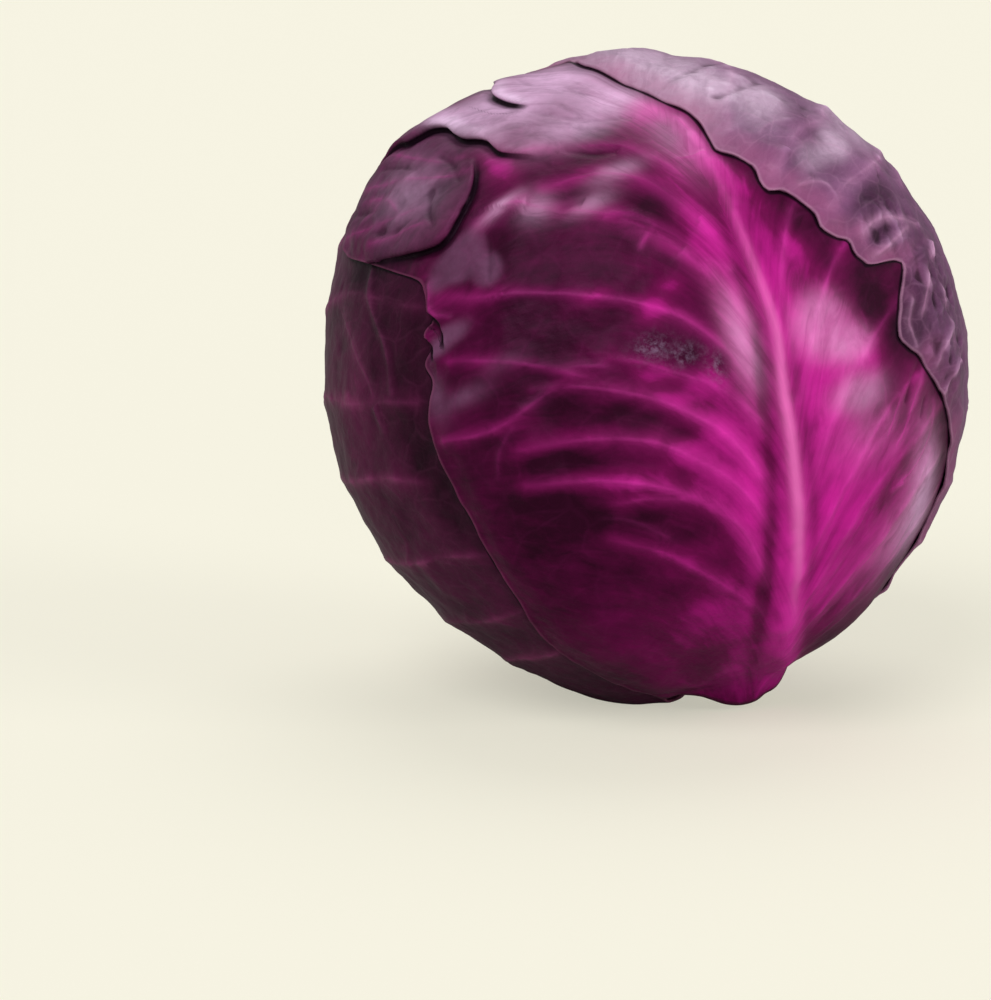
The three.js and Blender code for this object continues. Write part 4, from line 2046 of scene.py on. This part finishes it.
# ---- The front leaf, glossy, with its bright midrib ----
FRONT_OUTLINE = [
    (0, 92), (50, 85), (90, 80), (148, 88), *NECK, (221, 77), (235, 69.5), (249, 65), (260, 64),
    (268, 64), (275, 63), (280, 61.2), (283.5, 62.3), (287, 60.4), (290, 61.4), (293, 60.4), (296, 62),
    (300, 65), (302, 72), (304, 80), (306, 88), (310, 94.5), (320, 97.5), (335, 95),
]
FRONT_RIBS = ridges(
    ([(-4, 36), (-8, 43), (-14, 49.5), (-19, 54), (-26, 59), (-34, 62)], 2.2, 0.4, 0.24, 0.3, True),
    ([(-6.5, 48), (-9, 56), (-11, 61), (-15, 66.5), (-20, 70), (-27, 73.5), (-36, 75.5), (-47, 76)], 2.2,
     0.5, 0.42, 0.3, True),
    ([(-14, 65), (-19, 69), (-26, 70.5), (-33, 70)], 1.6, 0.4, 0.3, 0.2, True),
    ([(-6, 58), (-9, 66), (-13, 72), (-18, 76.5), (-23, 80.5), (-29, 83), (-37, 84.5), (-47, 85)], 2.2,
     0.5, 0.36, 0.3, True),
    ([(-6, 67), (-9, 74), (-12.5, 80), (-17, 84.5), (-22, 88.5), (-28, 92), (-35, 95.5), (-42, 97.5)],
     2.2, 0.5, 0.42, 0.3, True),
    ([(-5, 77), (-9, 84.5), (-13, 89), (-18, 92.5), (-23, 96), (-28, 98.5)], 1.8, 0.4, 0.3, 0.2, True),
    ([(-5, 86), (-9, 94), (-13, 100), (-17, 103.8), (-21, 107), (-27, 111), (-34, 116), (-40, 120),
     (-45, 124), (-50, 131)], 1.6, 0.6, 0.3, 0.6, True),
    ([(-32, 96), (-37, 100), (-42, 104), (-48, 108.5), (-54, 113.5)], 1.5, 0.5, 0.24, 0.5, True),
    ([(-36, 97.5), (-42, 95), (-48, 92), (-54, 91), (-61, 92)], 1.4, 0.5, 0.26, 0.6, True),
    ([(-46, 92), (-49, 88), (-51, 84), (-52, 78)], 0.9, 0.4, 0.15, 0.4),
    ([(-3.5, 98), (-7, 107), (-10, 113), (-13, 118), (-17, 123), (-22, 128), (-27, 132.5), (-31, 137),
     (-37, 138.5)], 2.4, 0.7, 0.34, 1.0, True),
    ([(-3, 110), (-6, 120), (-9, 127), (-14, 132), (-20, 135), (-25, 136)], 2.4, 0.6, 0.3, 0.8, True),
    ([(-2, 122), (-5, 130), (-9, 136.5), (-14, 140.5), (-20, 144), (-26, 148)], 2.0, 0.5, 0.25, 0.6,
     True),
    ([(-2.5, 106), (-6, 109), (-10, 110.5)], 0.9, 0.3, 0.4, 0.4),
    ([(-12, 118.5), (-14, 117.5), (-16, 116)], 0.8, 0.5, 0.7, 0.5),
    ([(-23, 61), (-30, 66), (-36, 67)], 1.2, 0.3, 0.15, 0.2),
    ([(-28, 97), (-33, 99), (-38, 100)], 1.2, 0.4, 0.25, 0.4),
)
FRONT_WRINKLES = ridges(
    ([(-19.5, 184), (-21.5, 173), (-23.5, 164), (-21, 155), (-16, 147)], 1.4, 0.9, 0.0, 0.5),
    ([(-25, 182), (-25, 172), (-25, 163)], 0.9, 0.6, 0.0, 0.5),
    ([(-8, 178), (-9, 164), (-6, 152), (-1, 145)], 1.2, 0.5, 0.0, 0.5),
    ([(-18, 160), (-15, 151.5), (-10, 147), (-4.5, 143.5), (-2, 140)], 1.6, -0.8, 0.0, 0.4),
    ([(-22, 184), (-21.5, 176), (-22.5, 168)], 0.9, -0.7, 0.0, 0.5),
    ([(-20, 145), (-14, 138.5), (-10, 136), (-5.5, 132.5), (-3, 129.5)], 1.4, -0.9, 0.0, 0.4),
    ([(-11, 176), (-12, 166), (-9, 157), (-4, 151)], 0.8, -0.5, 0.0, 0.5),
    ([(-27, 131), (-21, 129.5), (-15, 127), (-11.5, 123.5), (-9, 120)], 1.4, -0.8, 0.0, 0.4),
    ([(-20, 124), (-16.5, 123.5), (-14, 122), (-12, 119)], 0.9, 0.5, 0.3, 0.5),
    ([(2.5, 141.5), (3, 136), (3.8, 130), (4.4, 124), (3, 118)], 1.6, 0.6, 0.5, 0.5),
    ([(3.5, 129.5), (0.5, 129.5), (-3, 130)], 0.9, 0.5, 0.5, 0.5),
    ([(-50, 192), (-50, 178), (-46, 164), (-42, 156)], 1.3, 1.3, 0.3, 0.6),
    ([(-44, 182), (-43.5, 171), (-45, 163)], 1.0, 1.2, 0.4, 0.6),
    ([(-41, 192), (-41, 180), (-39, 168), (-36, 158), (-33, 153)], 1.1, 1.2, 0.4, 0.6),
    ([(-34, 186), (-35, 173), (-34, 164), (-31, 158)], 0.9, 1.0, 0.4, 0.6),
    ([(-52, 168), (-48, 158), (-43, 150)], 1.0, 1.1, 0.3, 0.6),
    ([(-48, 178), (-42, 172), (-38, 170)], 0.8, 0.9, 0.2, 0.6),
    ([(-45.5, 192), (-46, 182), (-46, 174)], 1.2, -1.0, 0.0, 0.5),
    ([(-37, 186), (-37, 176), (-37, 168)], 0.9, -0.9, 0.0, 0.5),
    ([(-33, 166), (-33, 159), (-35, 152)], 1.0, -1.0, 0.0, 0.5),
    ([(-49, 170), (-48.5, 162), (-45, 157)], 1.3, -1.2, 0.0, 0.5),
    ([(-38, 160), (-42, 153), (-43, 148)], 0.9, -1.0, 0.0, 0.5),
    ([(-47, 140), (-46, 133), (-48, 127)], 1.0, -0.8, 0.0, 0.5),
    ([(-50, 139), (-52, 130), (-50, 124)], 1.0, 0.9, 0.3, 0.5),
    ([(-37, 136), (-38.5, 131), (-41, 125)], 0.8, -0.6, 0.0, 0.5),
    ([(20, 65.5), (24.5, 68.5), (29, 74), (32, 78)], 1.1, 0.9, 0.9, 0.6),
    ([(19.5, 69), (21.5, 72), (25, 76)], 0.9, 0.6, 0.7, 0.5),
    ([(20, 58), (27, 59), (33, 63.5), (35, 70)], 1.1, 0.9, 0.7, 0.5),
    ([(25.5, 73), (28, 77), (31, 80)], 1.0, -0.9, 0.0, 0.5),
    ([(24, 62), (29, 67), (32, 72)], 1.0, -0.8, 0.0, 0.5),
    ([(8, 30), (16, 36), (24, 41), (31, 48)], 1.0, 0.35, 0.3, 0.4),
    ([(6, 24), (13, 29), (22, 34), (29, 41)], 0.9, 0.35, 0.3, 0.4),
    ([(10, 40), (18, 47), (26, 53), (33, 60)], 1.0, 0.35, 0.25, 0.4),
    ([(-3, 4), (-3, 16), (-3.5, 28), (-4, 44)], 5.5, 1.2, 0.0, 0.3),
)
FRONT_FOLDS = [
    Fold([(-8, 192), (-12.5, 181), (-14, 176), (-17, 171), (-17.5, 164), (-16.5, 158)], 1.6, 1.5, 7.0,
         (0.4, 0.0)),
    Fold([(-36, 196), (-31.5, 186), (-31, 181), (-28, 176), (-27, 170), (-27.8, 163), (-26, 156),
         (-26, 150), (-22, 142.5)], 2.4, 2.2, 8.0, (0.3, 0.0)),
    Fold([(-53, 160), (-50.5, 153), (-47.5, 147), (-43.5, 143), (-38, 145.5), (-34, 148.5), (-30, 155)],
         2.2, 2.0, 9.0, (0.5, 0.0)),
    Fold([(-55, 134), (-53, 130), (-52, 124), (-54, 117)], 1.5, 1.2, 4.0),
    Fold([(-59, 129), (-56, 124), (-57, 117)], 1.0, 0.8, 3.0),
]
# Brighter blade; the patches near (12, 91) and (17, 84) brighten it as part of the painted highlight on the
# right.
FRONT_BRIGHTS = patches(
    (-5, 98, 3.5, 26, 0.9), (-6, 62, 4, 16, 0.6), (3.5, 92, 4, 30, 0.95), (7, 63, 7, 17, 0.9),
    (0, 44, 4, 16, 0.85), (-8, 32, 12, 14, 0.34), (-3, 20, 8, 12, 0.4), (18, 44, 14, 12, 0.75),
    (4, 16, 3.5, 8, 0.7), (17, 84, 5, 6, 0.8), (-18, 46, 8, 6, 0.2), (-9.5, 67, 3.5, 9, 0.75),
    (-14, 72, 5, 4.5, 0.6), (-18, 77.5, 5, 3, 0.6), (-13, 81, 5, 4, 0.75), (-18, 88, 5, 2.5, 0.6),
    (-11, 90, 4, 5, 0.75), (-22, 93, 4, 2, 0.4), (-18, 104.5, 3, 2.5, 0.85), (-14, 107.5, 3, 2, 0.5),
    (-26, 110.8, 3, 1.2, 0.6), (-5, 115, 3, 8, 0.35), (2.5, 130, 4, 14, 0.65), (15, 66, 11, 10, 0.7),
    (30, 60, 6, 16, 0.55), (10, 108, 3, 5, 0.7), (-28, 149, 3, 7, 0.75), (-1, 145, 5, 6, 0.7),
    (12, 91, 8, 9, 0.95), (8, 78, 6, 12, 0.85), (-2, 44, 4, 18, 0.95), (-20, 38, 24, 16, 0.42),
    (-3, 16, 12, 9, 0.45), (-7, 50, 4, 12, 0.5), (-14, 44, 6, 5, 0.3), (-26, 66, 22, 18, 0.12),
    (-38, 86, 8, 2.2, 0.3), (-32, 75, 8, 2, 0.3), (-45, 91.5, 6, 1.6, 0.35), (-24, 57, 7, 3, 0.25),
    (24, 106, 6, 3.5, 0.3),
)
FRONT_DARKS = patches(
    (-36.5, 127, 3, 5, 0.95), (-31, 122, 5, 4, 0.85), (-42, 116.5, 7, 3, 0.97), (-36, 113, 5, 2.4, 0.8),
    (-55, 109.5, 4, 3.2, 0.9), (-31, 106, 6, 2.6, 0.85), (-35.5, 105, 4, 3.6, 0.95),
    (-46, 99.5, 6, 2.8, 0.95), (-24, 116, 5, 5, 0.6), (-22, 121, 4, 3, 0.5), (-38, 93, 6, 2.2, 0.95),
    (-30, 88.5, 5, 2, 0.9), (-25, 85.6, 4, 1.8, 0.9), (-20, 82, 3, 1.4, 0.6), (-51, 88, 5, 2.2, 0.7),
    (-42, 80.8, 7, 2.2, 0.95), (-33, 79.5, 5, 1.6, 0.7), (-45, 71, 8, 2.6, 0.9), (-36, 67, 6, 3, 0.95),
    (-26.5, 66.5, 5, 2.2, 0.9), (-21, 62, 4, 2.4, 0.6), (-31, 54, 6, 4, 0.8), (-23, 49, 5, 3, 0.6),
    (-14.5, 95.5, 3.5, 3, 0.8), (-20, 98.5, 3.5, 2.5, 0.8), (-10, 92, 1.6, 2.4, 0.6),
    (-7, 52, 1.4, 18, 0.3), (-44, 96.5, 7, 2.6, 0.8), (-35, 114.5, 7, 3, 0.8), (-38, 140.5, 3, 2, 0.7),
    (-14, 26, 5, 10, 0.3), (-12, 122, 4, 3.5, 0.75), (-29, 127, 7, 7, 0.5), (-42, 108, 12, 12, 0.45),
    (-36, 90, 14, 10, 0.3), (-17, 138, 6, 2.2, 0.7), (-21, 131.5, 4, 1.6, 0.5), (-6, 104, 1.5, 6, 0.3),
    (22.5, 95.5, 4.2, 6, 0.95, 1.6), (12.5, 112, 3, 4, 0.9), (7, 127, 2.2, 4, 0.7), (26, 88, 3, 6, 0.6),
    (12, 22, 10, 6, 0.35), (0, 122, 3, 5, 0.35), (-52, 63, 12, 18, 0.6), (-40, 45, 14, 12, 0.4),
    (15, 104, 2.5, 5, 0.4),
)
# Waxy bloom with painted sheen: the patches on the right near (10, 93), (15, 88.5) and (14.5, 80) are
# painted highlights, and those near (-8, 166), (-19, 164) and (-25, 172) paint the sheen on the top.
FRONT_BLOOMS_AND_SHEENS = patches(
    (-8, 166, 9, 13, 0.95), (-19, 164, 6, 12, 0.85), (-25, 172, 2.5, 14, 0.8), (-13, 147, 8, 4, 0.5),
    (-4, 151, 5, 5, 0.8), (-5.5, 95, 2.5, 8, 0.42), (10, 93, 6.5, 6, 0.3, 1.8),
    (15, 88.5, 5, 3.5, 0.28, 1.5), (14.5, 80, 6, 3.6, 0.3, 1.5), (16, 72, 8, 7, 0.12),
    (-28, 133, 3, 3, 0.35), (0, 136, 4, 10, 0.25), (-20, 128, 4, 2, 0.3), (-13, 132, 5, 2, 0.3),
    (31, 50, 5, 14, 0.6), (26, 44, 8, 8, 0.3), (-33, 138, 4, 1.4, 0.4), (-41, 164, 6, 12, 0.25),
)
FRONT_DUSTS = patches(
    (-43, 135, 5, 6, 0.95, 3), (-40.5, 128, 3, 4.5, 0.9, 3), (-48, 136, 3, 4, 0.8, 2),
    (-53, 119.5, 5, 3, 0.85, 2), (-60, 108, 2.5, 9, 0.7), (-54, 102.5, 5, 2.6, 0.7),
    (-42, 164, 10, 14, 0.8), (-33, 172, 4, 12, 0.5), (-46, 186, 14, 10, 0.6), (25, 36, 12, 10, 0.4),
    (14, 79, 7, 3, 0.3), (-45, 106, 4, 2, 0.3),
)
FRONT_FANS = [
    LateralFan(Side.LEFT, (), climb=45, bend=13),
    LateralFan(
        Side.RIGHT, (14, 26, 38, 50, 63, 77, 92), climb=34, bend=14, reach=40, width=1.2, height=0.3,
        glow=0.3, branches=3, seed=12,
    ),
]
FRONT_MIDRIB = Vein(
    [(5, 8), (3.5, 16), (1, 26), (-1, 35), (-2, 44), (-1.8, 54), (-1.5, 64), (-1.3, 74), (-0.9, 84),
     (0.6, 95), (1, 108), (1.7, 120), (2.6, 134)],
    4.3, 1.8, 0.95, 0.12,
)
FRONT_LEAF = OuterLeaf(
    piece=Piece("leaf_front", "outer_leaf_front", "leaf_glossy"),
    chart=LeafChart(1, FRONT_OUTLINE),
    finish=GLOSSY,
    placing=Placing.MIDRIB,
    midrib=FRONT_MIDRIB,
    fans=FRONT_FANS,
    veins=FRONT_RIBS + FRONT_WRINKLES,
    folds=FRONT_FOLDS,
    quiets=patches((0, 20, 40, 20, 0.9), (-12, 164, 20, 20, 0.5)),
    tone=0.3,
    ribbed=0.36,
    brights=FRONT_BRIGHTS,
    darks=FRONT_DARKS,
    blooms_and_sheens=FRONT_BLOOMS_AND_SHEENS,
    dusts=FRONT_DUSTS,
    frosts=patches((-20.5, 98, 3, 2, 0.6), (-16, 95, 3, 1.8, 0.5), (-11, 91.5, 1.5, 2.4, 0.55)),
    ripple=0.7,
    lift=patches((-57, 172, 10, 22, 1.2)),
    crumples=patches((-43, 168, 11, 18, 0.35), (-57, 122, 5, 12, 0.6)),
    crumple_size=9.0,
    grid=300,
    gather=(0.2, -0.15),
    seed=1,
)


# ---- The back leaf, the outermost, which wraps round under a waxy bloom ----
BACK_OUTLINE = [
    (0, 85), (50, 82), (85, 78), (150, 76), *NECK, (214, 86), (228, 87), (238, 89), (246, 92.5),
    (252, 96.5), (257, 101), (261, 104.5), (264, 106.5), (266, 109), (269, 111), (274, 108), (277, 105),
    (280, 101.5), (281.5, 104), (283, 110.5), (284.5, 112), (286.5, 113), (289, 112.5), (291, 114.5),
    (294, 116), (297, 115), (300.5, 115.5), (304, 116.5), (306, 118.5), (308.5, 118), (311.5, 116),
    (315, 116), (319, 117), (321, 115.5), (325, 112), (328, 110), (333, 108.5), (339, 105.5), (347, 101),
    (352, 97),
]
BACK_VEINS = ridges(
    ([(-30, 168), (-42, 167), (-52, 172), (-62, 178), (-73, 180)], 1.6, 0.7, 0.25, 0.7, True),
    ([(-50, 140), (-63, 149), (-71, 152), (-76, 159), (-84, 163), (-92, 166)], 1.8, 0.5, 0.3, 0.8, True),
    ([(-54, 126), (-66, 131), (-75, 134), (-84, 138), (-92, 142.5), (-100, 144)], 1.8, 0.5, 0.4, 0.7,
     True),
    ([(-86, 116), (-90.5, 121), (-94.5, 126), (-98, 129), (-103, 129.5)], 1.1, 1.4, 0.8, 0.9),
    ([(-90, 119), (-94.5, 120), (-101, 120.5), (-107, 121.5)], 1.0, 1.2, 0.7, 0.8),
    ([(-94, 106.5), (-100.5, 100.5), (-104.5, 96)], 1.0, 1.1, 0.8, 0.6),
    ([(-91.5, 103), (-93.5, 92), (-93, 82)], 1.0, 1.0, 0.7, 0.6),
    ([(-87, 111.5), (-90, 108)], 1.3, 1.2, 1.0, 0.9),
    ([(-94, 112.5), (-99, 106), (-102, 101)], 1.5, -1.0, 0.0, 0.8),
    ([(-95, 124), (-99, 125.5), (-102, 125)], 2.2, -1.4, 0.0, 0.8),
    ([(-104, 104), (-108, 95), (-107, 87)], 0.9, 0.6, 0.5, 0.8),
    ([(-86, 99), (-90, 92), (-90, 82)], 1.2, -1.0, 0.0, 0.6),
    ([(-80, 133), (-89, 137.5), (-95, 141), (-101, 141)], 1.5, -0.9, 0.0, 0.6),
    ([(-66, 153), (-73, 162), (-82, 166), (-91, 168)], 1.4, -0.7, 0.0, 0.6),
    ([(-92, 90), (-98, 84), (-101, 78)], 1.0, 0.6, 0.5, 0.5),
    ([(-88, 80), (-93, 76), (-96, 68), (-95, 60)], 1.0, 0.6, 0.5, 0.5),
    ([(-44, 190), (-43, 181), (-40, 170), (-42, 160)], 1.4, -0.7, 0.0, 0.6),
    ([(-59, 182), (-58, 174), (-54, 164)], 1.6, -0.8, 0.0, 0.6),
    ([(-86, 166), (-82, 160), (-80, 150), (-82, 142)], 1.2, 0.5, 0.3, 0.5),
    ([(-60, 150), (-66, 156), (-74, 158), (-82, 157)], 1.4, -0.6, 0.0, 0.6),
    ([(-96, 158), (-94, 150), (-98, 143)], 1.0, 0.5, 0.4, 0.5),
    ([(-78, 172), (-74, 168), (-73, 160)], 1.0, 0.4, 0.2, 0.5),
)
# Darker blade; the patch at (-99.5, 125) is painted shade in the pocket inside the folded bit near the
# margin.
BACK_DARKS_AND_SHADE = patches(
    (-90, 131, 6.5, 6, 0.95, 1.8), (-70, 160, 3, 5, 0.4), (-88, 160, 3, 4, 0.3), (-92, 98, 6, 16, 0.5),
    (-99.5, 125, 4.5, 3, 0.97, 1.5), (-96, 136, 5, 2.5, 0.6), (-76, 155, 5, 3, 0.35),
    (-94, 84, 12, 24, 0.5), (-102, 104, 4, 8, 0.9, 1.5), (-107, 97, 5, 10, 1.0, 1.5),
    (-88, 118, 5, 7, 0.7), (-84, 166, 4, 5, 0.3, 1.5),
)
BACK_BLOOMS = patches(
    (-30, 185, 34, 14, 0.75), (-50, 181, 12, 7, 0.75, 1.5), (-63, 169, 10, 8, 0.7, 1.5),
    (-79, 149, 7, 5, 0.65, 1.8), (-66, 142, 10, 8, 0.6), (10, 130, 56, 50, 0.3),
    (-86, 155, 5, 5, 0.4, 1.5), (30, 95, 20, 30, 0.3), (-45, 110, 16, 20, 0.3),
)
BACK_FANS = [
    LateralFan(
        Side.LEFT, (10, 23, 36, 50, 64, 78, 92), climb=36, bend=20, reach=78, spread=0.45, width=2.0,
        height=0.8, glow=0.55, branches=7, seed=21,
    ),
    LateralFan(
        Side.RIGHT, (8, 20, 33, 46, 60, 74, 88, 102, 117), climb=36, bend=20, reach=74, spread=0.4,
        width=2.0, height=0.8, glow=0.55, branches=7, seed=22,
    ),
]
BACK_MIDRIB = Vein(
    [(0, 8), (0, 30), (0, 55), (-1, 80), (0, 105), (1, 135), (0, 160)],
    6.0, 3.0, 0.8, 0.15, base=0.9,
)
BACK_LEAF = OuterLeaf(
    piece=Piece("leaf_back", "outer_leaf_back", "leaf_bloom"),
    chart=LeafChart(0, BACK_OUTLINE),
    finish=BLOOMY,
    placing=Placing.FLAT,
    midrib=BACK_MIDRIB,
    fans=BACK_FANS,
    veins=BACK_VEINS,
    tone=0.42,
    ribbed=0.3,
    swell=0.3,
    brights=patches((-88, 168, 6, 5, 0.3), (-98, 140, 3, 6, 0.3)),
    darks=BACK_DARKS_AND_SHADE,
    blooms_and_sheens=BACK_BLOOMS,
    dusts=patches((-94, 84, 12, 26, 0.3)),
    dust_all=0.4,
    crumples=patches((-95, 92, 9, 26, 0.6), (-96, 128, 7, 8, 0.5), (-60, 165, 50, 24, 0.12)),
    crumple_size=8.0,
    wrinkle=0.5,
    ripple=0.6,
    grid=300,
    gather=(0.16, 0.0),
    seed=2,
)


def main() -> None:
    """Build the cabbage and its studio."""
    logging.basicConfig(level=logging.INFO, format="%(message)s")
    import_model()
    shape = HeadShape()
    pieces = OuterLeaves(shape, [LEFT_LEAF, FRONT_LEAF, BACK_LEAF]).build()
    pieces += InnerLeaves(shape).build()
    pieces += Core(shape).build()
    for piece in pieces:
        log.info("%s: %d faces", piece.name, len(piece.data.polygons))
    Studio(shape).build()
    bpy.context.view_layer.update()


if __name__ == "__main__":
    main()
